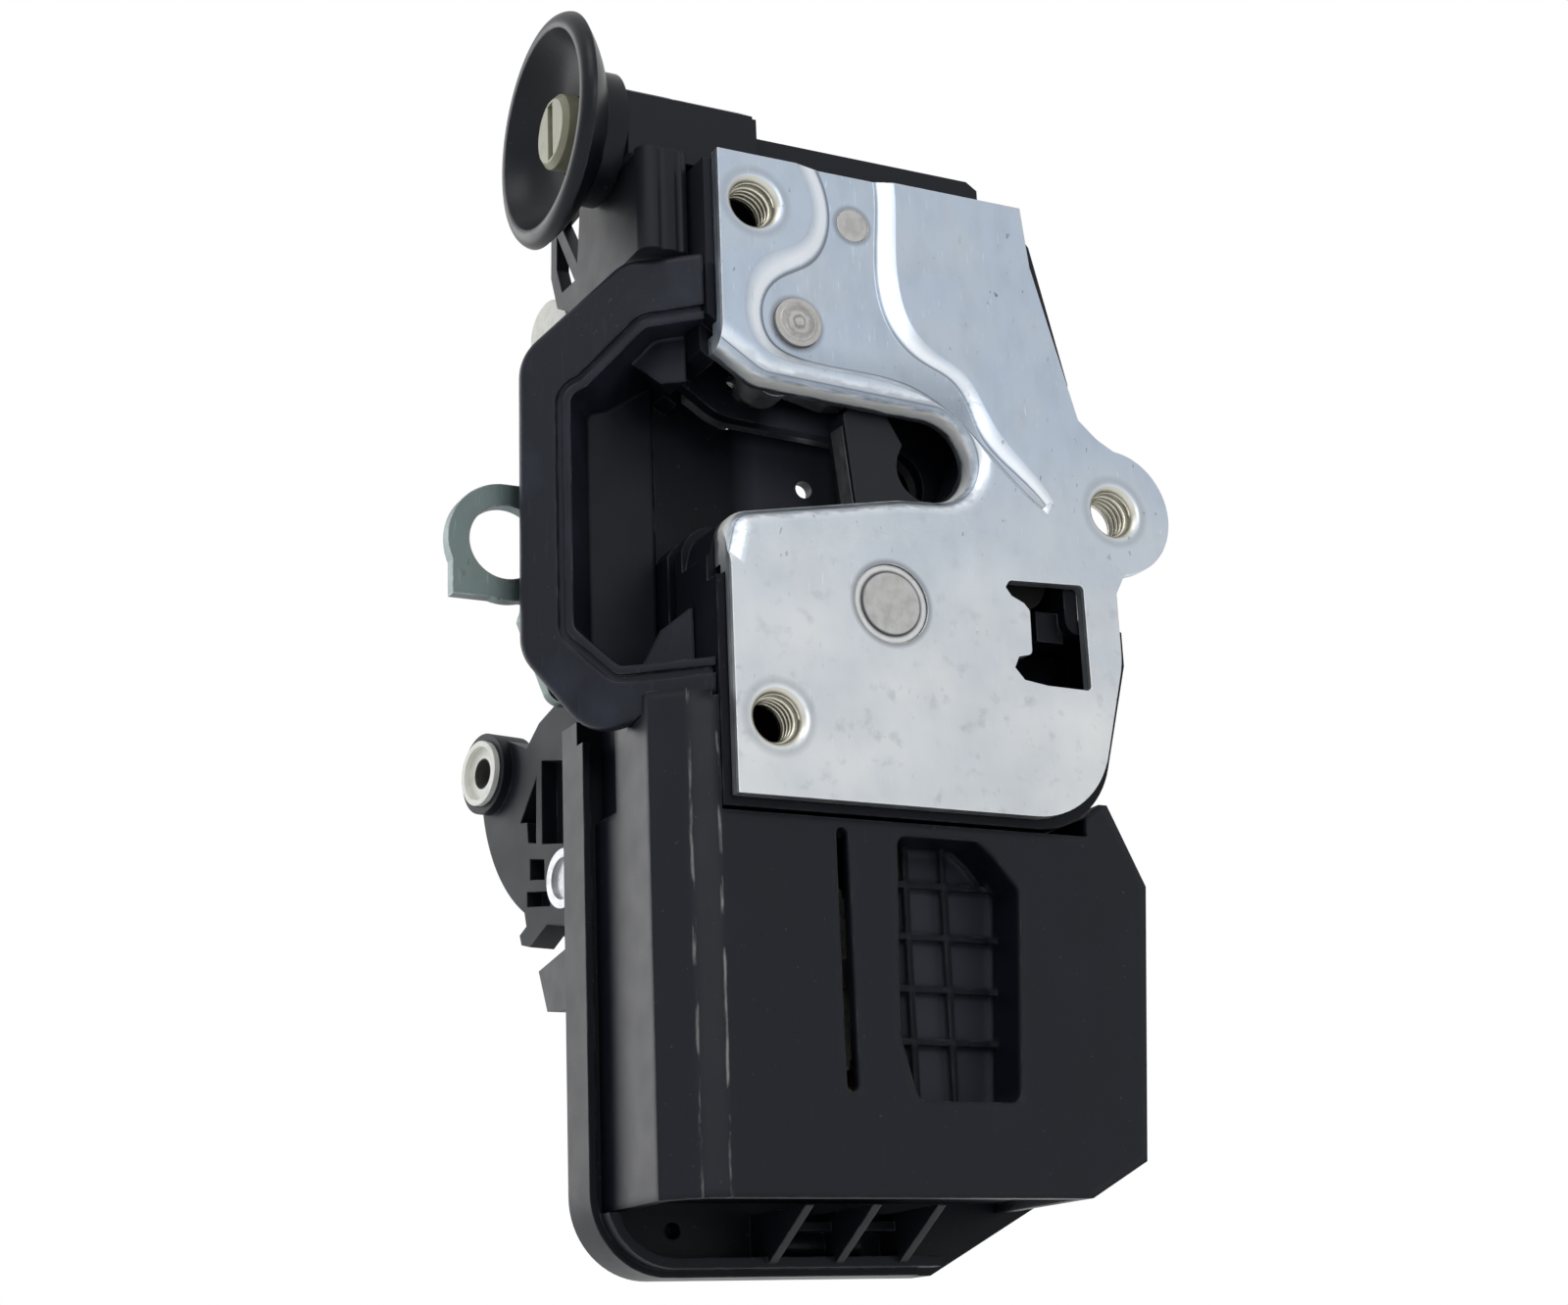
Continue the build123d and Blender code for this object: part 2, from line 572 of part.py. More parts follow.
def rounded_block(outline, front, back, radius):
    """A prism whose front left upright edge is rounded."""
    body = slab(outline, front, back)
    upright = [
        e for e in body.edges().filter_by(Axis.Z)
        if abs((e @ 0.5).X - body.bounding_box().min.X) < 0.01 and abs((e @ 0.5).Y - front) < 0.01
    ]
    return fillet(upright, radius)


def corner_cut():
    """What the two facets take off the shell's front left corner."""
    points = [(SHELL_LEFT + x, SHELL_FRONT + y) for x, y in CORNER_STEPS]
    outside = [(SHELL_LEFT - 1, points[-1][1]), (SHELL_LEFT - 1, SHELL_FRONT - 1), (points[0][0], SHELL_FRONT - 1)]
    return Pos(0, 0, SHELL_BOTTOM - 1) * extrude(Plane.XY * polygon(points + outside), 100)


def actuator_housing():
    """Front shell of the actuator: motor chamber, shoulder beside the case and ribbed pocket."""
    lower = shell_outline() + rectangle((SHELL_LEFT, PLATE_LEFT - CASE_RIM - PIECE_GAP), (SHELL_TOP - 1, SHOULDER_TOP))
    body = slab(lower, SHELL_FRONT, SHELL_BACK) - corner_cut()
    body -= box((SHELL_LEFT - 1, SHELL_LEFT + 1.1), (17.8, SHELL_BACK + 1), (-28.0, SHOULDER_TOP + 1))
    body += slab(shoulder_outline(), BACK_PLATE_BACK + 1.2, SHELL_BACK)
    chamber = shell_outline() & rectangle((-100, 100), (FLOOR_Z, 100))
    chamber = offset(chamber, -SHELL_WALL, kind=Kind.INTERSECTION)
    inner = rounded_block(chamber, SHELL_FRONT + SHELL_WALL, SHELL_BACK + 1, SHELL_CORNER_R - SHELL_WALL)
    shoulder = offset(shoulder_outline(), -SHELL_WALL, kind=Kind.INTERSECTION)
    inner += slab(shoulder, BACK_PLATE_BACK + 1.2 + SHELL_WALL, SHELL_BACK + 1)
    inner += box((-24, 28), (BACK_PLATE_BACK + 1.2 + SHELL_WALL, SHELL_BACK + 1), (SHELL_TOP - 6, SHELL_TOP + 6))
    skirt = rectangle((SHELL_LEFT + SHELL_WALL, 26), (SHELL_BOTTOM - 1, FLOOR_Z - SHELL_WALL))
    body -= rounded_block(skirt, SHELL_FRONT + SHELL_WALL, SHELL_BACK + 1, SHELL_CORNER_R - SHELL_WALL)
    pocket = pocket_outline()
    well = slab(offset(pocket, POCKET_WALL), SHELL_FRONT, SHELL_FRONT + POCKET_DEPTH + POCKET_WALL)
    body = body - inner + (well & slab(shell_outline(), SHELL_FRONT, SHELL_BACK))
    body -= slab(pocket, SHELL_FRONT - 1, SHELL_FRONT + POCKET_DEPTH)
    body += pocket_ribs() & slab(pocket, SHELL_FRONT + 2, SHELL_FRONT + POCKET_DEPTH)
    slot = Pos(-8.2, (SHELL_TOP - 68.0) / 2) * SlotOverall(SHELL_TOP + 65.6, 1.9, rotation=90)
    body -= slab(slot, SHELL_FRONT - 1, SHELL_FRONT + SHELL_WALL + 0.5)
    body -= extrude(GUARD.offset(1) * offset(guard_outline(), PIECE_GAP), -1 - GUARD_RIM_T - PIECE_GAP)
    for place in COVER_SCREWS:
        body += slab(disc(place, 3.4) & lower, SHELL_BACK - 14, SHELL_BACK)
        body -= slab(disc(place, 1.3 + RUN), SHELL_BACK - 12, SHELL_BACK + 1)
    return body


COVER_SCREWS = [(-30.4, -35.0), (-29.6, -72.5), (34.6, -49.5), (26.0, -33.6)]


def rectangle(x, z):
    return Pos((x[0] + x[1]) / 2, (z[0] + z[1]) / 2) * Rectangle(x[1] - x[0], z[1] - z[0])


def shoulder_outline():
    """The part of the shell that reaches up behind the latch case."""
    return rectangle((PLATE_LEFT - CASE_RIM - 1, 31), (SHELL_TOP - 4, SHOULDER_TOP))


def pocket_outline():
    """The window in the front face, with a stepped upper right corner."""
    points = [
        (0.2, SHELL_TOP - 1.8), (13.0, SHELL_TOP - 1.8), (15.4, -34.2), (19.2, -38.6), (17.3, -67.8), (1.4, -67.8),
        (-0.9, -59.0),
    ]
    return round_corners(polygon(points), 1.6, [points[0], points[2], points[4], points[5]])


def pocket_ribs():
    """Thin square lattice on the pocket's floor."""
    lattice = None
    for x in (5.0, 11.0):
        bar = box((x - 0.4, x + 0.4), (SHELL_FRONT + POCKET_DEPTH - 1.6, SHELL_FRONT + POCKET_DEPTH), (-69, -30))
        lattice = bar if lattice is None else lattice + bar
    for row in range(4):
        z = -37.4 - 7.2 * row
        lattice += box((-2, 20), (SHELL_FRONT + POCKET_DEPTH - 1.6, SHELL_FRONT + POCKET_DEPTH), (z - 0.4, z + 0.4))
    return lattice


def cover_outline(inset=0.0):
    """The rear cover, which is deeper than the shell at the bottom and on the left."""
    points = [
        (COVER_LEFT, SHOULDER_TOP + 0.4), (COVER_LEFT, COVER_BOTTOM), (15, COVER_BOTTOM), (33, -79.4), (37, -75.3),
        (40.2, -37), (34.6, -25.6), (31, SHOULDER_TOP + 0.4),
    ]
    face = round_corners(polygon(points), COVER_CORNER_R, [points[1]])
    return offset(face, -inset, kind=Kind.INTERSECTION) if inset else face


def rear_cover():
    """Tray that closes the actuator from behind, with bracing ribs on its apron."""
    body = slab(cover_outline(), COVER_FRONT, COVER_BACK)
    hollow = slab(cover_outline(4.0) & rectangle((-100, 100), (FLOOR_Z, 100)), COVER_FRONT - 1, COVER_BACK - COVER_SKIN)
    body -= hollow
    body = chamfer(body.faces().sort_by(Axis.Y)[-1].outer_wire().edges(), 0.8)
    body += cover_rim() + apron_ribs()
    body -= slab(disc((-24.1, -82.6), 1.15), COVER_FRONT - 1, COVER_FRONT + 3)
    for place in COVER_SCREWS:
        body += slab(disc(place, 3.4), COVER_FRONT, COVER_BACK - 0.5)
        body -= slab(disc(place, 1.7), COVER_FRONT - 1, COVER_BACK + 1)
        body -= slab(disc(place, 3.2), COVER_BACK - 1.4, COVER_BACK + 1)
    body -= slab(disc((WHEEL_X, WHEEL_Z), WHEEL_PIN_R + RUN), COVER_FRONT - 1, COVER_BACK - 1)
    return body + stop_block()


def stop_block():
    """Hollow block that ends the inside release lever's travel."""
    outline = polygon([(COVER_BACK - 0.5, -41.8), (48.7, -44.3), (45.5, -50.6), (40.7, -51.4), (COVER_BACK - 0.5, -51.4)])
    inner = offset(outline, -1.6, kind=Kind.INTERSECTION)
    return plank(outline, -33.5, -28.3) - plank(inner, -32.0, -28.0)


def cover_rim():
    """Edge that stands forward round the cover's left side and bottom, taller below the shell."""
    edge = slab(cover_outline() - cover_outline(1.1), COVER_FRONT - 2.0, COVER_FRONT + 0.5)
    edge = edge & box((-50, 12), (0, 60), (-100, SHOULDER_TOP - 3))
    skirt = slab(cover_outline(1.0) - cover_outline(2.4), COVER_FRONT - 5.0, COVER_FRONT + 0.5)
    return edge + (skirt & box((-50, 14), (0, 60), (-100, SHELL_BOTTOM - GAP)))


def apron_ribs():
    """Gusset ribs, a cross rib and a rolled boss on the strip below the shell."""
    low, high = COVER_BOTTOM + 1.6, SHELL_BOTTOM - GAP
    side = polygon([(8.5, high), (COVER_FRONT + 0.5, high), (COVER_FRONT + 0.5, low), (COVER_FRONT - 5.4, low)])
    ribs = box((-11.4, 8.3), (COVER_FRONT - 4.5, COVER_FRONT + 0.5), (high - 2.4, high - 1.2))
    for x in (-12.0, -2.0, 7.8):
        ribs += plank(side, x - 0.6, x + 0.6)
    roll = Pos(-3.0, COVER_FRONT - 0.6, low + 2.6) * Rot(0, 90, 0) * Cylinder(1.9, 12)
    return ribs + (roll & box((-20, 20), (COVER_FRONT - 5, COVER_FRONT + 2), (-100, 0)))


# ---------------------------------------------------------------- motor and gear
def motor_profile(radius, flat):
    """Round can with two flats, seen along its shaft (y right, z up)."""
    return Pos(*MOTOR_AXIS) * (Circle(radius) & Rectangle(2 * flat, 4 * radius))


def motor_can():
    can = plank(motor_profile(MOTOR_R, MOTOR_FLAT), MOTOR_LEFT, MOTOR_RIGHT - 3)
    can += plank(disc(MOTOR_AXIS, 3.2), MOTOR_LEFT - 1.6, MOTOR_LEFT)
    return can - plank(disc(MOTOR_AXIS, SHAFT_R + RUN), MOTOR_LEFT - 3, MOTOR_RIGHT)


def motor_end_cap():
    cap = plank(motor_profile(MOTOR_R, MOTOR_FLAT), MOTOR_RIGHT - 3, MOTOR_RIGHT - 0.6)
    cap -= plank(disc(MOTOR_AXIS, SHAFT_R + RUN), MOTOR_LEFT, MOTOR_RIGHT)
    for side in (-1, 1):
        cap += box(
            (MOTOR_RIGHT - 0.6, MOTOR_RIGHT + 1.4), (MOTOR_AXIS[0] - 0.4, MOTOR_AXIS[0] + 0.4),
            (MOTOR_AXIS[1] + side * 5 - 1, MOTOR_AXIS[1] + side * 5 + 1),
        )
    return cap


def motor_shaft():
    return plank(disc(MOTOR_AXIS, SHAFT_R), WHEEL_X - 9, MOTOR_RIGHT - 0.8)


def worm():
    """Worm drawn as grooved rings at the wheel's tooth pitch."""
    core = plank(disc(MOTOR_AXIS, WORM_R - 1.2), WHEEL_X - 7.5, WHEEL_X + 7.5)
    for turn in range(-2, 3):
        x = WHEEL_X + turn * WORM_PITCH
        thread = Pos(x, *MOTOR_AXIS) * Rot(0, 90, 0)
        core += thread * Cone(WORM_R - 1.2 + 0.2, WORM_R, 0.5, align=(Align.CENTER, Align.CENTER, Align.MAX))
        core += thread * Cone(WORM_R, WORM_R - 1.2 + 0.2, 0.5, align=(Align.CENTER, Align.CENTER, Align.MIN))
    return core - plank(disc(MOTOR_AXIS, SHAFT_R), -40, 60)


def worm_wheel():
    """Toothed wheel with a crank pin that drives the lock slider."""
    wheel = Circle(WHEEL_ROOT_R)
    tooth = polygon([(-0.75, WHEEL_ROOT_R - 1), (-0.32, WHEEL_R), (0.32, WHEEL_R), (0.75, WHEEL_ROOT_R - 1)])
    for index in range(WHEEL_TEETH):
        wheel += Rot(0, 0, (index + 0.5) * 360 / WHEEL_TEETH) * tooth
    front = MOTOR_AXIS[0] - WHEEL_T / 2
    body = slab(Pos(WHEEL_X, WHEEL_Z) * wheel, front, front + WHEEL_T)
    recess = Pos(WHEEL_X, WHEEL_Z) * (Circle(WHEEL_ROOT_R - 2) - Circle(4.5))
    body -= slab(recess, front - 1, front + 1.2)
    body += pin_y(CRANK_PIN, CRANK_PIN_R, front + WHEEL_T - 0.5, front + WHEEL_T + GAP + SLIDER_T)
    return body - pin_y((WHEEL_X, WHEEL_Z), WHEEL_PIN_R + RUN, 0, 40)


def wheel_pin():
    front = SHELL_FRONT + POCKET_DEPTH + POCKET_WALL
    return pin_y((WHEEL_X, WHEEL_Z), WHEEL_PIN_R, front, COVER_BACK - COVER_SKIN + 0.8)


def lock_slider():
    """Slider that the crank pin lifts; its stem runs up behind the latch."""
    front = MOTOR_AXIS[0] + WHEEL_T / 2 + GAP
    x = WHEEL_X - CRANK_R * (1 + cos(radians(CRANK_REST))) / 2
    travel = CRANK_R * (1 - cos(radians(CRANK_REST)))
    slot = Pos(x, CRANK_PIN[1]) * SlotOverall(2 * CRANK_PIN_R + travel + 1.0, 2 * CRANK_PIN_R + 0.5)
    head = rectangle((x - 5.2, x + 5.2), (CRANK_PIN[1] - 4.5, CRANK_PIN[1] + 4.5))
    stem = rectangle((x - 2.5, x + 2.5), (CRANK_PIN[1], SHOULDER_TOP - 12))
    return slab(head + stem - slot, front, front + SLIDER_T)


def contact_strip():
    """Pressed brass strips from the connector to the motor and the switch."""
    y = COVER_BACK - COVER_SKIN
    strips = None
    for index in range(3):
        z = -60.0 + index * 3.0
        strip = box((21, 34), (y - 1.0, y - GAP / 2), (z - 0.7, z + 0.7))
        strips = strip if strips is None else strips + strip
    return strips + box((32.4, 33.6), (y - 1.0, y - GAP / 2), (-60.7, -53.3))


def connector_socket():
    """Shrouded socket on the rear cover, open to the rear."""
    shell = box((12, 30), (COVER_BACK, COVER_BACK + 14), (-70, -58)) - box((13.6, 28.4), (COVER_BACK + 2, 60), (-68.4, -59.6))
    latch = box((18, 24), (COVER_BACK + 3, COVER_BACK + 9), (-58.2, -56.8))
    return shell + latch


def connector_pins():
    """Two rows of flat blades in the socket."""
    blades = []
    for row in (-66.0, -62.0):
        for column in range(4):
            x = 16.2 + 3.2 * column
            blades.append(box((x - 0.8, x + 0.8), (COVER_BACK + 2, COVER_BACK + 10), (row - 0.3, row + 0.3)))
    return Compound(blades)


def cover_screws():
    screws = []
    for place in COVER_SCREWS:
        head = slab(disc(place, 2.8), COVER_BACK - 1.4, COVER_BACK + 0.6)
        head -= slab(disc(place, 1.2), COVER_BACK - 0.4, COVER_BACK + 1)
        screws.append(head + slab(disc(place, 1.3), SHELL_BACK - 11, COVER_BACK - 1.4))
    return Compound(screws)


# ---------------------------------------------------------------- lock housing and key
def lock_housing():
    """Upper moulding behind the latch, with the key boss, the bridge over the plate and the side gusset."""
    left = PLATE_LEFT - CASE_RIM + 0.3
    outline = polygon([
        (left, SHOULDER_TOP + 0.4), (31, SHOULDER_TOP + 0.4), (31, 37), (26.5, 58), (22, PLATE_TOP + 1), (left, PLATE_TOP + 1),
    ])
    body = slab(outline, LOCK_FRONT + 1.1, LOCK_BACK)
    body -= slab(offset(outline, -LOCK_WALL, kind=Kind.INTERSECTION), LOCK_FRONT, LOCK_BACK - LOCK_WALL)
    body -= slab(mouth_outline(-CASE_LIP), LOCK_FRONT, LOCK_BACK - LOCK_WALL)
    body -= slab(disc((-1.0, 24.5), 1.35), LOCK_FRONT, LOCK_BACK + 1)
    bridge = polygon([(-16, PLATE_TOP + 0.2), (24.6, PLATE_TOP + 0.2), (24.6, BRIDGE_TOP - 1.2), (22.8, BRIDGE_TOP), (-16, BRIDGE_TOP)])
    body += slab(bridge, 10, LOCK_BACK) - slab(offset(bridge, -LOCK_WALL, kind=Kind.INTERSECTION), 12, LOCK_BACK - LOCK_WALL)
    body += column() + gusset() + key_block()
    body -= plank(disc((KEY_Y, KEY_Z), FUNNEL_NECK_R + COLLAR_WALL + GAP), BOSS_LEFT - 5, BLOCK_LEFT)
    body += plank(disc((KEY_Y, KEY_Z), FUNNEL_NECK_R), BOSS_LEFT, -28)
    body -= plank(disc((KEY_Y, KEY_Z), KEY_SHAFT_R + RUN), BOSS_LEFT - 5, -20)
    body -= plank(disc((KEY_Y, KEY_Z), 7.6), -28.5, -18)
    for hole, radius in ((DETENT_PIVOT, DETENT_PIVOT_R + 2.2), ((0, 0), PIVOT_R + 2.2)):
        body -= slab(disc(hole, radius), LOCK_FRONT, BACK_PLATE_BACK + 1.2 + GAP)
    body += slab(disc(RELEASE_PIVOT, 6), BACK_PLATE_BACK + 0.4, LOCK_BACK)
    body -= slab(disc(RELEASE_PIVOT, RELEASE_STUD_R + RUN), 0, 40)
    return body - detent_pin_window(LOCK_FRONT, LOCK_BACK + 1)


def key_block():
    """Block that carries the key boss; its top steps down in two bevelled pieces."""
    block = box((BLOCK_LEFT, -14), (8, LOCK_BACK), (PLATE_TOP + 1.0, BLOCK_TOP))
    crown = box((BLOCK_LEFT, -25.6), (8, LOCK_BACK), (BLOCK_TOP - 1, BLOCK_TOP + 4)) + box(
        (-25.0, -14.6), (8, LOCK_BACK), (BLOCK_TOP - 1, BLOCK_TOP + 3.2))
    slope = Plane(origin=(-40, 8, BLOCK_TOP + 0.4), x_dir=(1, 0, 0), z_dir=(0, -0.55, 0.85))
    crown -= extrude(slope * Rectangle(100, 100), 12)
    return block + crown


def column():
    """Fluted column left of the plate that stiffens the block."""
    post = box((BLOCK_LEFT + 0.8, PLATE_LEFT - CASE_RIM - 0.4), (5.5, LOCK_BACK), (50.7, PLATE_TOP + 1.6))
    edges = [e for e in post.edges().filter_by(Axis.Z) if (e @ 0.5).Y < 6]
    post = fillet(edges, 2.2)
    for x in (-30.6, -28.0):
        post -= Pos(x, 5.0, 57) * Cylinder(0.8, 40)
    return post


def gusset():
    """Pierced web below the key boss, standing in the side view."""
    web = polygon([(LOCK_BACK - 1, BLOCK_TOP - 2), (40.5, 71.5), (41, 61), (38.6, 55), (LOCK_BACK - 1, 47)])
    web -= polygon([(29, 68.8), (37.2, 68.6), (30.5, 59)])
    web -= polygon([(38.4, 67), (38.6, 61.4), (36.6, 56.8), (31.6, 56.6)])
    return plank(web, BLOCK_LEFT + 1.2, BLOCK_LEFT + 3.2)


def key_funnel():
    """Flared guide for the key cylinder's blade, with a rolled rim."""
    rim = FUNNEL_RIM_R
    tip = FUNNEL_RIM_X - 1.6
    neck_x = BLOCK_LEFT - PIECE_GAP
    collar = FUNNEL_NECK_R + COLLAR_WALL
    outer = Curve() + [
        Spline((rim, FUNNEL_RIM_X), (rim - 3.2, FUNNEL_RIM_X + 2.6), (collar, BOSS_LEFT - 1.2)),
        Line((collar, BOSS_LEFT - 1.2), (collar, neck_x)),
        Line((collar, neck_x), (FUNNEL_NECK_R + RUN, neck_x)),
        Line((FUNNEL_NECK_R + RUN, neck_x), (FUNNEL_NECK_R + RUN, BOSS_LEFT - 0.2)),
        Line((FUNNEL_NECK_R + RUN, BOSS_LEFT - 0.2), (RECEIVER_R + 1.0, BOSS_LEFT - 0.2)),
        Line((RECEIVER_R + 1.0, BOSS_LEFT - 0.2), (RECEIVER_R + 1.0, BOSS_LEFT - 1.8)),
        Spline((RECEIVER_R + 1.0, BOSS_LEFT - 1.8), (rim - 7.0, FUNNEL_RIM_X + 3.4), (rim - 2.6, tip)),
        ThreePointArc((rim - 2.6, tip), (rim - 0.6, FUNNEL_RIM_X - 1.2), (rim, FUNNEL_RIM_X)),
    ]
    section = make_face(outer)
    cone = revolve(Plane.XY * section, Axis.Y)
    return Pos(0, KEY_Y, KEY_Z) * (Rot(0, 0, -90) * cone)


def key_receiver():
    """Ivory socket that the key cylinder's blade turns."""
    body = plank(disc((KEY_Y, KEY_Z), RECEIVER_R), RECEIVER_FACE_X, BOSS_LEFT - GAP)
    edge = body.edges().filter_by(GeomType.CIRCLE).sort_by(Axis.X)[0]
    body = chamfer(edge, 0.8)
    body -= plank(Pos(KEY_Y, KEY_Z) * Rectangle(1.8, 8.6), RECEIVER_FACE_X - 1, RECEIVER_FACE_X + 5)
    return body + plank(disc((KEY_Y, KEY_Z), KEY_SHAFT_R), BOSS_LEFT - GAP, -24)


def key_cam():
    """Cam on the receiver's inner end."""
    return plank(disc((KEY_Y, KEY_Z), 5.0), -28.0, -24.5) - plank(disc((KEY_Y, KEY_Z), KEY_SHAFT_R), -30, -20)


# ---------------------------------------------------------------- levers
def outside_release_lever():
    """Zinc plated lever: its loop takes the outside handle's rod and its arm's edge pushes the detent pin."""
    px, pz = RELEASE_PIVOT
    x, z = LOOP_CENTRE
    loop = disc(LOOP_CENTRE, LOOP_R) + rectangle((x - 7.9, x + 8), (z - 8.3, z + 1)) + rectangle((x, x + 9), (z - 8.3, z + LOOP_R))
    body = polygon([
        (x + 3, z + LOOP_R), (-30, 18), (px - 2, pz + 8), (px + 6.5, pz + 2), (px + 4, pz - 6), (px - 2, pz - 8), (-33, -10.5),
        (-40.2, -11.4), (-44.8, 0.5), (x + 3, z - 8.3),
    ])
    body = round_corners(body, 2.5, [(-40.2, -11.4)])
    arm = hull_of(RELEASE_PIVOT, 6, (DETENT_PIN[0] - 12.8, DETENT_PIN[1] + 0.5), 4)
    lever = loop + body + arm
    lever -= disc(LOOP_CENTRE, LOOP_HOLE_R) + disc(RELEASE_PIVOT, RELEASE_STUD_R + RUN)
    return slab(lever, RELEASE_Y, RELEASE_BACK)


def release_lever_stud():
    x, z = RELEASE_PIVOT
    stud = pin_y(RELEASE_PIVOT, RELEASE_STUD_R, BACK_PLATE_FRONT, RELEASE_BACK + 1.2)
    return stud + slab(disc(RELEASE_PIVOT, 5.0), RELEASE_BACK + GAP, RELEASE_BACK + 1.8)


def sector_outline():
    """The inside release lever, drawn about its pivot (rearward right, up)."""
    edge = Curve() + [
        Polyline((-4.6, -5), (-4.8, 10), (-2.5, 27.5), (3.7, 26.4), (8.1, 24.8), (11.7, 21.8), (18, 24.6), (24.6, 16)),
        ThreePointArc((24.6, 16), (20.6, 5.2), (12.7, -2.6)),
        Polyline((12.7, -2.6), (12.2, -4.7), (14.1, -5.7), (13.6, -7.2), (11.2, -7.9), (6.5, -5.4), (0, -6.6), (-4.6, -5)),
    ]
    return make_face(edge)


def inside_release_lever():
    """Grey plastic sector with a bushed rod eye, lightening pockets and a hooked stop."""
    body = leaf(sector_outline() + disc((0, 0), 6.2) + disc(BUSH_AT, BUSH_R + 1.2), 0, SECTOR_T)
    body += leaf(disc(BUSH_AT, BUSH_R + 1.2), -1.6, SECTOR_T)
    body -= leaf(disc(BUSH_AT, BUSH_R + RUN), -3, SECTOR_T + 1)
    body -= leaf(disc((0, 0), SIDE_PIN_R + RUN), -1, SECTOR_T + 1)
    pockets = [
        [(1.3, 5.4), (7.6, 6.6), (7.5, 19), (1.2, 17.6)],
        [(9.2, 7.0), (11.4, 7.5), (11.7, 10.6), (13.6, 10.9), (9.0, 16.8)],
        [(7.0, 1.2), (11.0, 1.9), (11.0, 5.0), (7.0, 4.2)],
        [(5.6, -2.9), (11.9, -1.9), (11.9, 0.3), (5.6, -0.7)],
    ]
    for outline in pockets:
        body -= leaf(polygon(outline), -1, SECTOR_T - 1.4)
    body -= leaf(rectangle((7.0, 7.6), (1.6, 4.0)), -1, SECTOR_T + 1)
    return body


def rod_bushing():
    """Ivory bushing snapped into the rod eye."""
    ring = leaf(disc(BUSH_AT, BUSH_R), -2.4, SECTOR_T + 0.6)
    ring -= leaf(disc(BUSH_AT, BUSH_R - 0.9), -3, -1.6)
    return ring - leaf(disc(BUSH_AT, BUSH_BORE_R), -3, SECTOR_T + 2)


def side_pin(centre, outer):
    """Headed pin that carries a side lever on the bracket."""
    pin = leaf(disc(centre, SIDE_PIN_R), outer, SECTOR_T + 0.5 + BRACKET_T + 0.8)
    head = leaf(disc(centre, SIDE_PIN_HEAD_R), outer - 1.1, outer)
    return pin + head - leaf(disc(centre, SIDE_PIN_HEAD_R - 1.3), outer - 2, outer - 0.5)


def lever_bracket():
    """Bent steel bracket: a foot on the rear cover and a wall that carries the side levers."""
    wall_front = SECTOR_T + 0.5
    wall = polygon([(-6.4, -8), (9, -8), (12, 4), (9, 62), (-3, 62), (-6.4, 30)])
    wall = round_corners(wall, 4, [(9, -8), (9, 62), (-3, 62)])
    body = leaf(wall, wall_front, wall_front + BRACKET_T)
    for centre in ((0, 0), LOCK_LEVER_PIVOT):
        body -= leaf(disc(centre, SIDE_PIN_R + RUN), 0, 20)
    foot = box((-27.2, -10), (COVER_BACK + 0.1, COVER_BACK + 0.1 + BRACKET_T), (-40, -18))
    for place in BRACKET_SCREWS:
        foot -= slab(disc(place, 1.7), COVER_BACK, COVER_BACK + 4)
    return body + foot


BRACKET_SCREWS = [(-15.0, -23.0), (-15.0, -35.0)]


def bracket_screws():
    screws = []
    for place in BRACKET_SCREWS:
        top = COVER_BACK + 0.1 + BRACKET_T
        screws.append(slab(disc(place, 3.0), top, top + 1.6) + slab(disc(place, 1.5), COVER_BACK + 0.1, top))
    return Compound(screws)


def lock_lever():
    """Ivory lever whose round tip shows beside the guard."""
    outer = SECTOR_T + 0.5 - GAP - LOCK_LEVER_T
    x, z = LOCK_LEVER_PIVOT
    arm = hull_of(LOCK_LEVER_PIVOT, 5.6, LOCK_TIP, LOCK_TIP_R) + hull_of(LOCK_LEVER_PIVOT, 5.6, (x + 9, z - 12), 3.6)
    body = leaf(arm, outer, outer + LOCK_LEVER_T)
    body -= leaf(disc((x + 9, z - 12), 1.6), outer - 1, outer + 9)
    return body - leaf(disc(LOCK_LEVER_PIVOT, SIDE_PIN_R + RUN), outer - 1, outer + 9)


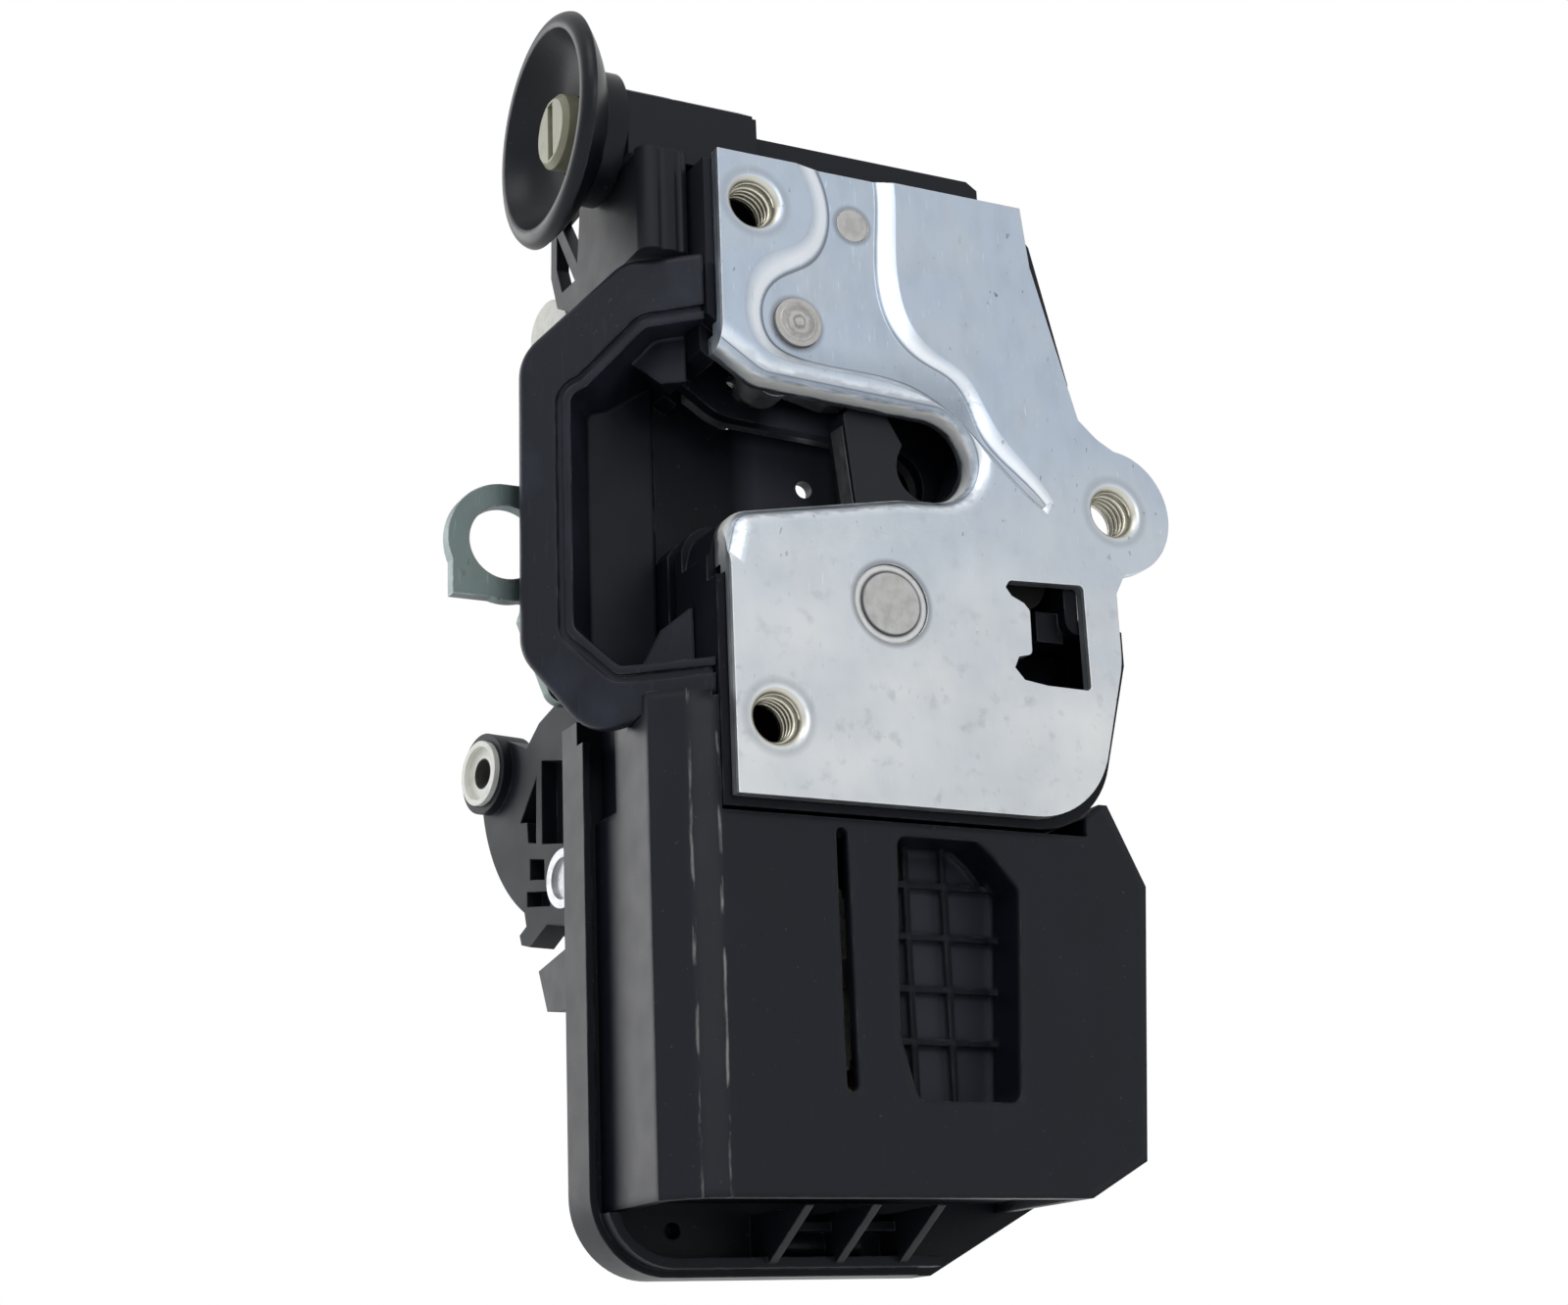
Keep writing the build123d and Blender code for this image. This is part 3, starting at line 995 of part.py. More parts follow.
PIECES = {
    "face_plate": face_plate,
    "latch_case": latch_case,
    "back_plate": back_plate,
    "fork_pivot_rivet": lambda: rivet((0, 0), PIVOT_R, 0, PIVOT_STEP, PIVOT_COLLAR_R),
    "detent_pivot_rivet": lambda: rivet(DETENT_PIVOT, DETENT_PIVOT_R, 0.2, 0.35, DETENT_HEAD_R),
    "case_pin": lambda: pin_y(CASE_PIN, CASE_PIN_R, CHANNEL_DEPTH, CASE_BACK - 0.5),
    "fork_bolt": fork_bolt,
    "fork_coating": fork_coating,
    "fork_spring": lambda: torsion_spring((0, 0), 7.2, 1.2, FORK_BACK + GAP, ((200, 8), (120, 9))),
    "fork_bumper": fork_bumper,
    "detent_lever": detent_lever,
    "detent_pin": detent_pin,
    "detent_spring": lambda: torsion_spring(DETENT_PIVOT, DETENT_PIVOT_R + 0.6, 0.8, FORK_BACK + GAP, ((-60, 6), (30, 9))),
    "position_switch": position_switch,
    "striker_guard": striker_guard,
    "actuator_housing": actuator_housing,
    "rear_cover": rear_cover,
    "cover_screws": cover_screws,
    "motor_can": motor_can,
    "motor_end_cap": motor_end_cap,
    "motor_shaft": motor_shaft,
    "worm": worm,
    "worm_wheel": worm_wheel,
    "wheel_pin": wheel_pin,
    "lock_slider": lock_slider,
    "contact_strip": contact_strip,
    "connector_socket": connector_socket,
    "connector_pins": connector_pins,
    "lock_housing": lock_housing,
    "key_funnel": key_funnel,
    "key_receiver": key_receiver,
    "key_cam": key_cam,
    "outside_release_lever": outside_release_lever,
    "release_lever_stud": release_lever_stud,
    "inside_release_lever": inside_release_lever,
    "rod_bushing": rod_bushing,
    "lever_bracket": lever_bracket,
    "bracket_screws": bracket_screws,
    "inside_lever_pin": lambda: side_pin((0, 0), -GAP),
    "lock_lever": lock_lever,
    "lock_lever_pin": lambda: side_pin(LOCK_LEVER_PIVOT, SECTOR_T + 0.5 - GAP - LOCK_LEVER_T - GAP),
}

os.makedirs("parts", exist_ok=True)
for name, build in PIECES.items():
    export_step(build(), f"parts/{name}.step")
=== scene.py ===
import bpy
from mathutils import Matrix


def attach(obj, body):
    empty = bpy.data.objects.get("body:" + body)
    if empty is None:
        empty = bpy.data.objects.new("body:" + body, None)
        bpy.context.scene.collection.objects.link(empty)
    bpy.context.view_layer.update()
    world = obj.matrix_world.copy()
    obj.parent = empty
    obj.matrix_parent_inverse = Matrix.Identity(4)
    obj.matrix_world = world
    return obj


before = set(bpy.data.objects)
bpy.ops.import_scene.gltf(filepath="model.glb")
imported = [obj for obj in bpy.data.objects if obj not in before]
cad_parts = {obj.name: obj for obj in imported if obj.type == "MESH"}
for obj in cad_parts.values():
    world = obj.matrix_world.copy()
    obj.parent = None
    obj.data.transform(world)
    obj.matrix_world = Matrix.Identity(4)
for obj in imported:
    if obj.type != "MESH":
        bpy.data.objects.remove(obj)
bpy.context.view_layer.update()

import bpy
from math import cos, pi, sin
from mathutils import Matrix, Vector

MM = 0.001

# Places on the face plate, as x and z in millimetres.
HOLES = ((-18.8, 57.6), (-18.1, -17.8), (38.3, 18.3))
FORK_HUB = (0.0, 0.0)
DETENT_HUB = (-12.4, 40.3)
CASE_PIN = (-2.7, 57.3)
RIVET_RIMS = ((FORK_HUB, 5.75), (DETENT_HUB, 3.65), (CASE_PIN, 2.5))

# The guard's inward direction in x and y, and how far along it the front of the guard's rim lies.
GUARD_INWARD = (0.6428, 0.7660)
GUARD_FACE = -14.3

BUSHING_AXIS = (-0.9848, -0.1736, 0.0)
BUSHING_BORE = 2.35

ZINC_METAL = 0.9
WORLD_LIGHT = 0.25      # what the white surroundings give to the object
FLOOR_GLOW = 0.75       # how bright the floor is seen, over what the lamps give it
FLOOR_HALF = 2.5
FLOOR_LEVEL = -0.135


# ---------------------------------------------------------------- node helpers
class Surface:
    """A Principled material built up with a few named steps. Lengths are in millimetres."""

    def __init__(self, name, color, rough=0.5, metal=0.0, specular=0.5):
        self.material = bpy.data.materials.new(name)
        self.material.use_nodes = True
        self.tree = self.material.node_tree
        self.shader = self.tree.nodes["Principled BSDF"]
        self.shader.inputs["Metallic"].default_value = metal
        self.shader.inputs["Specular IOR Level"].default_value = specular
        self.shader.inputs["Roughness"].default_value = rough
        self.shader.inputs["Base Color"].default_value = (*color, 1)
        self.coord = self.node("ShaderNodeTexCoord").outputs["Object"]
        self.color = None
        self.base = color
        self.height = None

    def node(self, kind, **values):
        made = self.tree.nodes.new(kind)
        for key, value in values.items():
            setattr(made, key, value)
        return made

    def link(self, source, target):
        self.tree.links.new(source, target)

    def math(self, operation, a, b=None, clamp=False):
        made = self.node("ShaderNodeMath", operation=operation, use_clamp=clamp)
        for value, socket in ((a, made.inputs[0]), (b, made.inputs[1])):
            if isinstance(value, (int, float)):
                socket.default_value = value
            elif value is not None:
                self.link(value, socket)
        return made.outputs[0]

    def noise(self, size, detail=4.0, stretch=(1, 1, 1), rough=0.5, offset=0.0):
        """A noise whose blobs are about size millimetres across, longer where stretch is large."""
        mapping = self.node("ShaderNodeMapping")
        mapping.inputs["Scale"].default_value = [1 / s for s in stretch]
        mapping.inputs["Location"].default_value = (offset, offset * 0.7, offset * 0.3)
        self.link(self.coord, mapping.inputs["Vector"])
        made = self.node("ShaderNodeTexNoise")
        made.inputs["Scale"].default_value = 1 / (size * MM)
        made.inputs["Detail"].default_value = detail
        made.inputs["Roughness"].default_value = rough
        self.link(mapping.outputs["Vector"], made.inputs["Vector"])
        return made.outputs["Fac"]

    def ramp(self, source, stops):
        made = self.node("ShaderNodeValToRGB")
        elements = made.color_ramp.elements
        while len(elements) < len(stops):
            elements.new(0.5)
        for element, (place, value) in zip(elements, stops):
            element.position = place
            element.color = (*value, 1) if isinstance(value, tuple) else (value, value, value, 1)
        self.link(source, made.inputs["Fac"])
        return made.outputs["Color"]

    def tint(self, mask, color, strength=1.0):
        """Mixes a colour over what is there, where the mask is bright."""
        made = self.node("ShaderNodeMix", data_type="RGBA")
        self.link(self.math("MULTIPLY", mask, strength, clamp=True), made.inputs["Factor"])
        if self.color is None:
            made.inputs["A"].default_value = (*self.base, 1)
        else:
            self.link(self.color, made.inputs["A"])
        made.inputs["B"].default_value = (*color, 1)
        self.color = made.outputs["Result"]
        self.link(self.color, self.shader.inputs["Base Color"])
        return self

    def roughness(self, source, low, high):
        made = self.node("ShaderNodeMapRange")
        made.inputs["To Min"].default_value = low
        made.inputs["To Max"].default_value = high
        self.link(source, made.inputs["Value"])
        self.link(made.outputs["Result"], self.shader.inputs["Roughness"])
        return self

    def bump(self, source, depth, strength=1.0):
        """Adds relief; depth is in millimetres."""
        made = self.node("ShaderNodeBump")
        made.inputs["Distance"].default_value = depth * MM
        made.inputs["Strength"].default_value = strength
        self.link(source, made.inputs["Height"])
        if self.height is not None:
            self.link(self.height, made.inputs["Normal"])
        self.height = made.outputs["Normal"]
        self.link(self.height, self.shader.inputs["Normal"])
        return self

    def axes(self):
        """The object's x, y and z in millimetres."""
        apart = self.node("ShaderNodeSeparateXYZ")
        self.link(self.coord, apart.inputs["Vector"])
        return [self.math("MULTIPLY", socket, 1000.0) for socket in apart.outputs]

    def between(self, source, low0, low1, high0, high1):
        """1 from low1 to high0, falling smoothly to 0 at low0 and high1."""
        sides = []
        for start, end in ((low0, low1), (high1, high0)):
            made = self.node("ShaderNodeMapRange", clamp=True)
            made.inputs["From Min"].default_value = start
            made.inputs["From Max"].default_value = end
            self.link(source, made.inputs["Value"])
            sides.append(made.outputs["Result"])
        return self.math("MULTIPLY", *sides)

    def distance(self, x, z, cx, cz):
        """How far a point lies from the line along y through cx and cz."""
        dx = self.math("SUBTRACT", x, cx)
        dz = self.math("SUBTRACT", z, cz)
        squares = self.math("ADD", self.math("MULTIPLY", dx, dx), self.math("MULTIPLY", dz, dz))
        return self.math("SQRT", squares)

    def edges(self, radius=0.25):
        """Softens sharp edges in the shading, as moulded and sheared edges are."""
        made = self.node("ShaderNodeBevel", samples=4)
        made.inputs["Radius"].default_value = radius * MM
        self.height = made.outputs["Normal"]
        self.link(self.height, self.shader.inputs["Normal"])
        return self

    def edge_band(self, radius, low=0.02, high=0.18):
        """1 along edges and corners, where a rounded normal departs from the flat one."""
        made = self.node("ShaderNodeBevel", samples=4)
        made.inputs["Radius"].default_value = radius * MM
        geometry = self.node("ShaderNodeNewGeometry")
        dot = self.node("ShaderNodeVectorMath", operation="DOT_PRODUCT")
        self.link(made.outputs["Normal"], dot.inputs[0])
        self.link(geometry.outputs["Normal"], dot.inputs[1])
        spread = self.node("ShaderNodeMapRange", clamp=True)
        spread.inputs["From Min"].default_value = low
        spread.inputs["From Max"].default_value = high
        self.link(self.math("SUBTRACT", 1.0, dot.outputs["Value"]), spread.inputs["Value"])
        return spread.outputs["Result"]

    def dull(self, mask, metal, less):
        """Makes the metal less metallic where the mask is bright, which shows the painted highlight
        strip brighter.
        """
        left = self.math("SUBTRACT", metal, self.math("MULTIPLY", mask, less))
        self.link(left, self.shader.inputs["Metallic"])


def shade(color, factor):
    return tuple(c * factor for c in color)


def zinc(name, color, rough=0.36, plate=False):
    """Blue-passivated zinc on pressed steel, with handling marks, and pale edges that are partly wear
    and partly painted highlight.
    """
    s = Surface(name, color, rough, metal=ZINC_METAL)
    s.edges(0.22)
    warm = tuple(c * k for c, k in zip(color, (1.12, 1.05, 0.95)))
    dark = shade(color, 0.45)
    s.tint(s.ramp(s.noise(11, 5, offset=1.0), [(0.40, 0.0), (0.70, 1.0)]), warm, 0.55)
    streaks = s.ramp(s.noise(3.5, 6, stretch=(1, 1, 2.0), offset=3.0), [(0.46, 0.0), (0.80, 1.0)])
    s.tint(streaks, dark, 0.22)
    specks = s.ramp(s.noise(1.3, 3, stretch=(0.7, 1, 1.5), offset=9.0), [(0.685, 0.0), (0.715, 1.0)])
    clusters = s.ramp(s.noise(16, 2, offset=21.0), [(0.42, 0.15), (0.60, 1.0)])
    s.tint(s.math("MULTIPLY", specks, clusters), shade(color, 0.25), 0.9)
    scratches = s.ramp(s.noise(1.6, 2, stretch=(0.12, 1, 2.4), offset=12.0), [(0.69, 0.0), (0.72, 1.0)])
    s.tint(scratches, tuple(min(1.0, c * 1.6) for c in color), 0.6)
    if plate:
        paint_relief_light(s, color)
        paint_lip_light(s, color)
        paint_holes(s)
    # Pale edges: partly rubbed wear, partly a painted highlight along the edges.
    rubbed_and_lit = s.ramp(s.noise(2.5, 4, offset=6.0), [(0.35, 0.2), (0.6, 1.0)])
    s.tint(s.math("MULTIPLY", s.edge_band(0.35), rubbed_and_lit), (0.80, 0.81, 0.80), 0.7)
    s.roughness(s.noise(4, 6, offset=5.0), rough - 0.10, rough + 0.14)
    s.bump(s.noise(0.35, 4), 0.02, 0.45)
    s.bump(s.noise(7, 3, offset=2.0), 0.10, 0.3)
    return s.material


def paint_relief_light(s, color):
    """Painted highlights on the shoulders and a painted shadow line at the foot of what is pressed in,
    and a paler, clouded lower half.
    """
    _, y, z = s.axes()
    low = s.between(z, -60, -50, -14, 30)
    s.tint(low, (0.64, 0.65, 0.64), 0.55)
    blotches = s.ramp(s.noise(12, 3, offset=44.0), [(0.36, 0.0), (0.74, 1.0)])
    s.tint(s.math("MULTIPLY", low, blotches), (0.76, 0.77, 0.76), 0.55)
    stains = s.ramp(s.noise(2.6, 6, offset=51.0), [(0.58, 0.0), (0.72, 1.0)])
    s.tint(s.math("MULTIPLY", low, stains), shade(color, 0.5), 0.3)
    # Painted highlight on the shoulders, then a painted shadow line at the foot, both set by depth.
    s.tint(s.between(y, 0.02, 0.48, 0.72, 0.84), (0.90, 0.92, 0.94), 0.6)
    s.tint(s.between(y, 0.80, 0.90, 0.95, 0.985), shade(color, 0.25), 0.75)


def paint_lip_light(s, color):
    """The rolled lip: a painted dark reflection line where it turns in, a bright rough strip that is a
    painted highlight, and painted shade deeper in the mouth.
    """
    x, y, z = s.axes()
    near = s.between(z, 2.0, 9.0, 31.0, 38.0)
    near = s.math("MULTIPLY", near, s.between(x, -40, -30, 14.0, 17.0))
    jag = s.math("MULTIPLY", s.noise(1.4, 5, stretch=(1.8, 1, 1)), 1.1)
    depth = s.math("ADD", y, s.math("SUBTRACT", jag, 0.55))
    line = s.between(depth, 0.25, 0.6, 1.1, 1.6)
    strip = s.math("MULTIPLY", near, s.between(depth, 1.5, 1.9, 3.6, 4.2))
    deep = s.between(depth, 3.8, 4.3, 9, 10)
    # Painted dark reflection line where the lip turns in.
    s.tint(s.math("MULTIPLY", near, line), shade(color, 0.42), 0.6)
    # Painted highlight strip along the lip, made brighter again by less metal.
    s.tint(strip, (0.92, 0.93, 0.90), 0.9)
    s.dull(strip, ZINC_METAL, 0.75)
    # Painted shade deeper in the mouth.
    s.tint(s.math("MULTIPLY", near, deep), (0.10, 0.10, 0.11), 0.7)
    s.bump(s.math("MULTIPLY", near, s.noise(0.8, 5, stretch=(2.5, 1, 1))), 0.25, 0.5)


def paint_holes(s):
    """Yellowish bare metal in the drawn holes, a grey halo round them, and a painted shadow ring round
    the rivets.
    """
    x, _, z = s.axes()
    for cx, cz in HOLES:
        reach = s.distance(x, z, cx, cz)
        s.tint(s.between(reach, 4.3, 4.8, 5.1, 5.9), (0.25, 0.27, 0.30), 0.35)
        s.tint(s.math("LESS_THAN", reach, 4.1), (0.52, 0.50, 0.42), 0.8)
    for centre, rim in RIVET_RIMS:
        reach = s.distance(x, z, *centre)
        # Painted shadow ring where the rivet head meets the plate.
        s.tint(s.between(reach, rim - 0.4, rim, rim + 0.15, rim + 0.9), (0.16, 0.17, 0.19), 0.75)


def plastic(name, color, rough, specular=0.22, scuff=0.25, wear_and_sheen=0.6, soft=0.3, cloudy=0.0, paint=None):
    """Moulded plastic with a fine spark-eroded grain, dust, scuffs and paler edges, partly wear and
    partly painted highlight.
    """
    s = Surface(name, color, rough, specular=specular)
    s.edges(soft)
    pale = tuple(min(1.0, c * 2.2 + 0.008) for c in color)
    dust = tuple(min(1.0, c * 1.5 + 0.030) for c in color)
    bands = s.ramp(s.noise(14, 4, stretch=(1, 1, 2.5)), [(0.40, 0.0), (0.80, 1.0)])
    s.tint(bands, shade(color, 1.5), 0.4)
    scuffs = s.ramp(s.noise(2.0, 6, stretch=(0.35, 0.6, 3.0), offset=8.0), [(0.62, 0.0), (0.78, 1.0)])
    s.tint(scuffs, pale, scuff)
    s.tint(s.ramp(s.noise(0.8, 2, offset=15.0), [(0.72, 0.0), (0.75, 1.0)]), dust, 0.7)
    # Paler edges: partly rubbed wear, partly a painted highlight along the edges.
    rubbed_and_lit = s.ramp(s.noise(2.5, 5, stretch=(1, 1, 2), offset=4.0), [(0.45, 0.0), (0.68, 1.0)])
    s.tint(s.math("MULTIPLY", s.edge_band(0.3), rubbed_and_lit), (0.20, 0.205, 0.22), wear_and_sheen)
    if cloudy:
        cloud = s.ramp(s.noise(9, 4, stretch=(1, 1, 1.4), offset=31.0), [(0.50, 0.0), (0.72, 1.0)])
        s.tint(cloud, tuple(c * 3.0 + 0.006 for c in color), cloudy)
    if paint:
        paint(s)
    s.roughness(s.noise(5, 5, offset=4.0), rough - 0.08, rough + 0.08)
    s.bump(s.noise(0.25, 3), 0.014, 0.5)
    s.bump(s.noise(8, 2, offset=6.0), 0.10, 0.25)
    return s.material


def corner_wear_and_highlight(s):
    """Pale broken lines down the two edges of the shell's front left corner: painted highlights, partly
    rubbed wear.
    """
    x, y, _ = s.axes()
    for place, strength in ((-26.2, 0.8), (-29.9, 0.6)):
        waver = s.math("SUBTRACT", s.noise(6, 3, offset=place), 0.5)
        wander = s.math("ADD", x, s.math("MULTIPLY", waver, 0.5))
        line = s.between(wander, place - 0.26, place - 0.06, place + 0.06, place + 0.26)
        broken = s.ramp(s.noise(1.1, 6, stretch=(1, 1, 5), offset=-place), [(0.48, 0.0), (0.62, 1.0)])
        front = s.math("LESS_THAN", y, 4.6)
        dashes = s.math("MULTIPLY", line, broken)
        # Painted highlight lines, partly wear, in pale grey along each edge.
        s.tint(s.math("MULTIPLY", dashes, front), (0.34, 0.34, 0.34), strength)


def shell_painted_light(s):
    """The corner's painted highlight lines, and painted light lifting the shaded floor of the window.
    """
    corner_wear_and_highlight(s)
    x, y, z = s.axes()
    # Painted light: the window's floor, shaded by its walls, is lifted to a paler blue-black.
    floor = s.math("MULTIPLY", s.between(y, 9.4, 9.9, 10.6, 10.9), s.between(x, -4, -3, 21, 22))
    s.tint(s.math("MULTIPLY", floor, s.between(z, -72, -70, -28, -26)), (0.022, 0.025, 0.036), 0.9)


def guard_painted_shade(s):
    """Painted shade: the cup is darker inside than on its flange."""
    x, y, _ = s.axes()
    along_x, along_y = (s.math("MULTIPLY", axis, part) for axis, part in zip((x, y), GUARD_INWARD))
    inward = s.math("ADD", along_x, along_y)
    inside = s.between(inward, GUARD_FACE + 3.5, GUARD_FACE + 8.0, 60, 61)
    # Painted shade, near black, inside the cup.
    s.tint(inside, (0.0022, 0.0030, 0.0060), 0.75)


def bushing_bore_shade(s):
    """Painted shade, near black, in the rod's hole."""
    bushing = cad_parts["rod_bushing"]
    centre = sum((Vector(corner) for corner in bushing.bound_box), Vector()) / 8
    apart = s.node("ShaderNodeVectorMath", operation="SUBTRACT")
    s.link(s.coord, apart.inputs[0])
    apart.inputs[1].default_value = centre
    cross = s.node("ShaderNodeVectorMath", operation="CROSS_PRODUCT")
    s.link(apart.outputs["Vector"], cross.inputs[0])
    cross.inputs[1].default_value = BUSHING_AXIS
    reach = s.node("ShaderNodeVectorMath", operation="LENGTH")
    s.link(cross.outputs["Vector"], reach.inputs[0])
    bore = s.math("LESS_THAN", reach.outputs["Value"], BUSHING_BORE * MM)
    # Painted shade filling the bore.
    s.tint(bore, (0.012, 0.012, 0.012), 0.93)


def case_painted_light(s):
    """Painted light on the shaded back wall behind the mouth, and on the upper block and column,
    lighter than the shaded cavity.
    """
    x, _, z = s.axes()
    patch = s.math("MULTIPLY", s.between(x, -13, -9, 3, 5), s.between(z, 12, 17, 30, 33))
    # Painted light lifting the shaded back wall behind the mouth.
    s.tint(patch, (0.060, 0.065, 0.085), 0.9)
    # Painted light: everything above z 48 lighter than the shaded cavity below.
    s.tint(s.math("GREATER_THAN", z, 48.0), (0.0190, 0.0205, 0.0265), 0.9)


def steel(name, color, rough=0.38, grime=0.5):
    """Plain or plated steel with turning and press marks."""
    s = Surface(name, color, rough, metal=1.0)
    s.edges(0.15)
    s.tint(s.ramp(s.noise(2.2, 6), [(0.40, 0.0), (0.68, 1.0)]), shade(color, 0.5), grime)
    s.tint(s.ramp(s.noise(0.7, 4, offset=7.0), [(0.60, 0.0), (0.72, 1.0)]), shade(color, 0.35), grime)
    s.roughness(s.noise(2, 4, offset=1.0), rough - 0.08, rough + 0.15)
    s.bump(s.noise(0.6, 4), 0.05, 0.6)
    return s.material


def rivet_steel():
    """Spun and stamped rivet ends: rough, with rings left by the tool on the detent rivet, and a dark
    ring and a pale ring near the fork rivet's rim.
    """
    s = Surface("rivet_steel", (0.44, 0.44, 0.44), 0.42, metal=0.95)
    s.edges(0.15)
    x, _, z = s.axes()
    s.tint(s.ramp(s.noise(1.6, 6), [(0.42, 0.0), (0.66, 1.0)]), (0.30, 0.29, 0.27), 0.5)
    reach = s.distance(x, z, *DETENT_HUB)
    jag = s.math("MULTIPLY", s.noise(0.7, 4, offset=3.0), 0.9)
    ring = s.math("ADD", reach, s.math("SUBTRACT", jag, 0.45))
    s.tint(s.between(ring, 0.5, 0.7, 0.9, 1.2), (0.14, 0.135, 0.12), 0.6)
    s.tint(s.between(ring, 1.5, 1.8, 2.3, 2.8), (0.20, 0.19, 0.17), 0.5)
    s.tint(s.between(ring, 2.7, 3.0, 3.6, 3.7), (0.40, 0.39, 0.37), 0.6)
    # A dark ring, then a pale ring, near the rim of the fork rivet's head.
    hub = s.distance(x, z, *FORK_HUB)
    s.tint(s.between(hub, 4.3, 4.5, 4.7, 4.9), (0.07, 0.075, 0.085), 0.85)
    s.tint(s.between(hub, 4.9, 5.1, 5.4, 5.6), (0.70, 0.71, 0.72), 0.6)
    s.roughness(s.noise(1.2, 5, offset=1.0), 0.32, 0.6)
    s.bump(s.noise(0.9, 5, offset=11.0), 0.10, 0.6)
    s.bump(s.between(ring, 0.5, 0.8, 2.0, 2.4), 0.15, 0.5)
    return s.material


def ivory(name, color, paint=None):
    """Unpigmented acetal, slightly waxy, with grease in its corners."""
    s = Surface(name, color, 0.42, specular=0.4)
    s.edges(0.2)
    paler = tuple(min(1.0, c * 1.25) for c in color)
    s.tint(s.ramp(s.noise(5, 3), [(0.4, 0.0), (0.7, 1.0)]), paler, 0.5)
    grease = s.ramp(s.noise(4, 6, offset=2.0), [(0.50, 0.0), (0.80, 1.0)])
    s.tint(grease, tuple(c * k for c, k in zip(color, (0.42, 0.40, 0.34))), 0.6)
    s.tint(s.math("MULTIPLY", s.edge_band(0.3), s.noise(2, 4, offset=5.0)), shade(color, 0.5), 0.5)
    if paint:
        paint(s)
    s.bump(s.noise(0.4, 3), 0.02, 0.4)
    s.shader.inputs["Subsurface Weight"].default_value = 0.15
    s.shader.inputs["Subsurface Radius"].default_value = (0.0012, 0.0010, 0.0006)
    return s.material


PLATE = zinc("plate_zinc", (0.42, 0.49, 0.585), 0.36, plate=True)
LEVER = zinc("lever_zinc", (0.125, 0.165, 0.165), 0.42)
SHELL = plastic(
    "shell_black", (0.0044, 0.0054, 0.0104), 0.42, soft=1.8, cloudy=0.12, paint=shell_painted_light,
)
# case_black is the black plastic painted darker than shell_black, as painted shade for the cavity
# parts.
CASE = plastic(
    "case_black", (0.0028, 0.0036, 0.0066), 0.46, specular=0.14, cloudy=0.3, paint=case_painted_light,
)
GUARD = plastic(
    "guard_black", (0.0095, 0.0115, 0.0190), 0.38,
    specular=0.2, soft=0.7, scuff=0.6, cloudy=0.55, wear_and_sheen=0.8, paint=guard_painted_shade,
)
FUNNEL = plastic("funnel_black", (0.0035, 0.0045, 0.0085), 0.36, specular=0.2)
COVER = plastic("cover_black", (0.0065, 0.0078, 0.0115), 0.42, specular=0.14)
GREY = plastic("lever_grey", (0.0075, 0.0095, 0.0140), 0.48, specular=0.16, cloudy=0.3)
COATING = plastic("coating_grey", (0.0085, 0.0100, 0.0150), 0.36, specular=0.25)
IVORY = ivory("ivory_acetal", (0.86, 0.87, 0.79))
BUSHING = ivory("ivory_bushing", (0.90, 0.91, 0.84), paint=bushing_bore_shade)
SOCKET = ivory("ivory_greased", (0.30, 0.30, 0.21))
RIVET = rivet_steel()
STEEL = steel("plain_steel", (0.45, 0.46, 0.48), 0.4)
WIRE = steel("spring_wire", (0.35, 0.35, 0.36), 0.3)
THREAD = steel("thread_steel", (0.60, 0.58, 0.50), 0.32, 0.35)
BRASS = steel("brass", (0.62, 0.45, 0.18), 0.35)
RUBBER = plastic("rubber", (0.012, 0.012, 0.012), 0.7, specular=0.2)

FINISH = {
    "face_plate": PLATE, "outside_release_lever": LEVER,
    "latch_case": CASE, "actuator_housing": SHELL, "lock_housing": CASE, "position_switch": CASE,
    "striker_guard": GUARD, "key_funnel": FUNNEL, "rear_cover": COVER, "connector_socket": COVER,
    "motor_end_cap": COVER, "lock_slider": COVER,
    "inside_release_lever": GREY, "fork_coating": COATING, "key_cam": GREY,
    "rod_bushing": BUSHING, "lock_lever": IVORY, "key_receiver": SOCKET, "worm_wheel": IVORY,
    "fork_pivot_rivet": RIVET, "detent_pivot_rivet": RIVET, "case_pin": RIVET,
    "fork_spring": WIRE, "detent_spring": WIRE,
    "worm": BRASS, "contact_strip": BRASS, "connector_pins": BRASS,
    "fork_bumper": RUBBER,
}
for name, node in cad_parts.items():
    material = FINISH.get(name, STEEL)
    node.data.materials.clear()
    node.data.materials.append(material)


# ---------------------------------------------------------------- threads
def thread(name, centre, start=1.2, end=6.6, pitch=1.0, bore=3.4, height=0.42, steps=40):
    """A helical ridge standing in from the wall of a tapped hole."""
    verts, faces = [], []
    turns = int((end - start) / pitch * steps)
    for index in range(turns + 1):
        angle = 2 * pi * index / steps
        y = start + pitch * index / steps
        fade = min(1.0, index / steps, (turns - index) / steps)
        root, crest = bore + 0.05, bore - height * fade
        for radius, shift in ((root, -0.40), (crest, -0.08), (crest, 0.08), (root, 0.40)):
            x = centre[0] + radius * cos(angle)
            z = centre[1] + radius * sin(angle)
            verts.append((x * MM, (y + shift * pitch) * MM, z * MM))
    for index in range(turns):
        a, b = 4 * index, 4 * index + 4
        faces += [(a + k, a + k + 1, b + k + 1, b + k) for k in range(3)]
        faces.append((a + 3, a, b, b + 3))
    faces.append((0, 1, 2, 3))
    faces.append(tuple(4 * turns + k for k in (3, 2, 1, 0)))
    mesh = bpy.data.meshes.new(name)
    mesh.from_pydata(verts, [], faces)
    mesh.polygons.foreach_set("use_smooth", [True] * len(faces))
    mesh.materials.append(THREAD)
    ridge = bpy.data.objects.new(name, mesh)
    bpy.context.collection.objects.link(ridge)
    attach(ridge, "latch_body")


for place, centre in zip(("upper", "lower", "ear"), HOLES):
    thread("thread_" + place, centre)


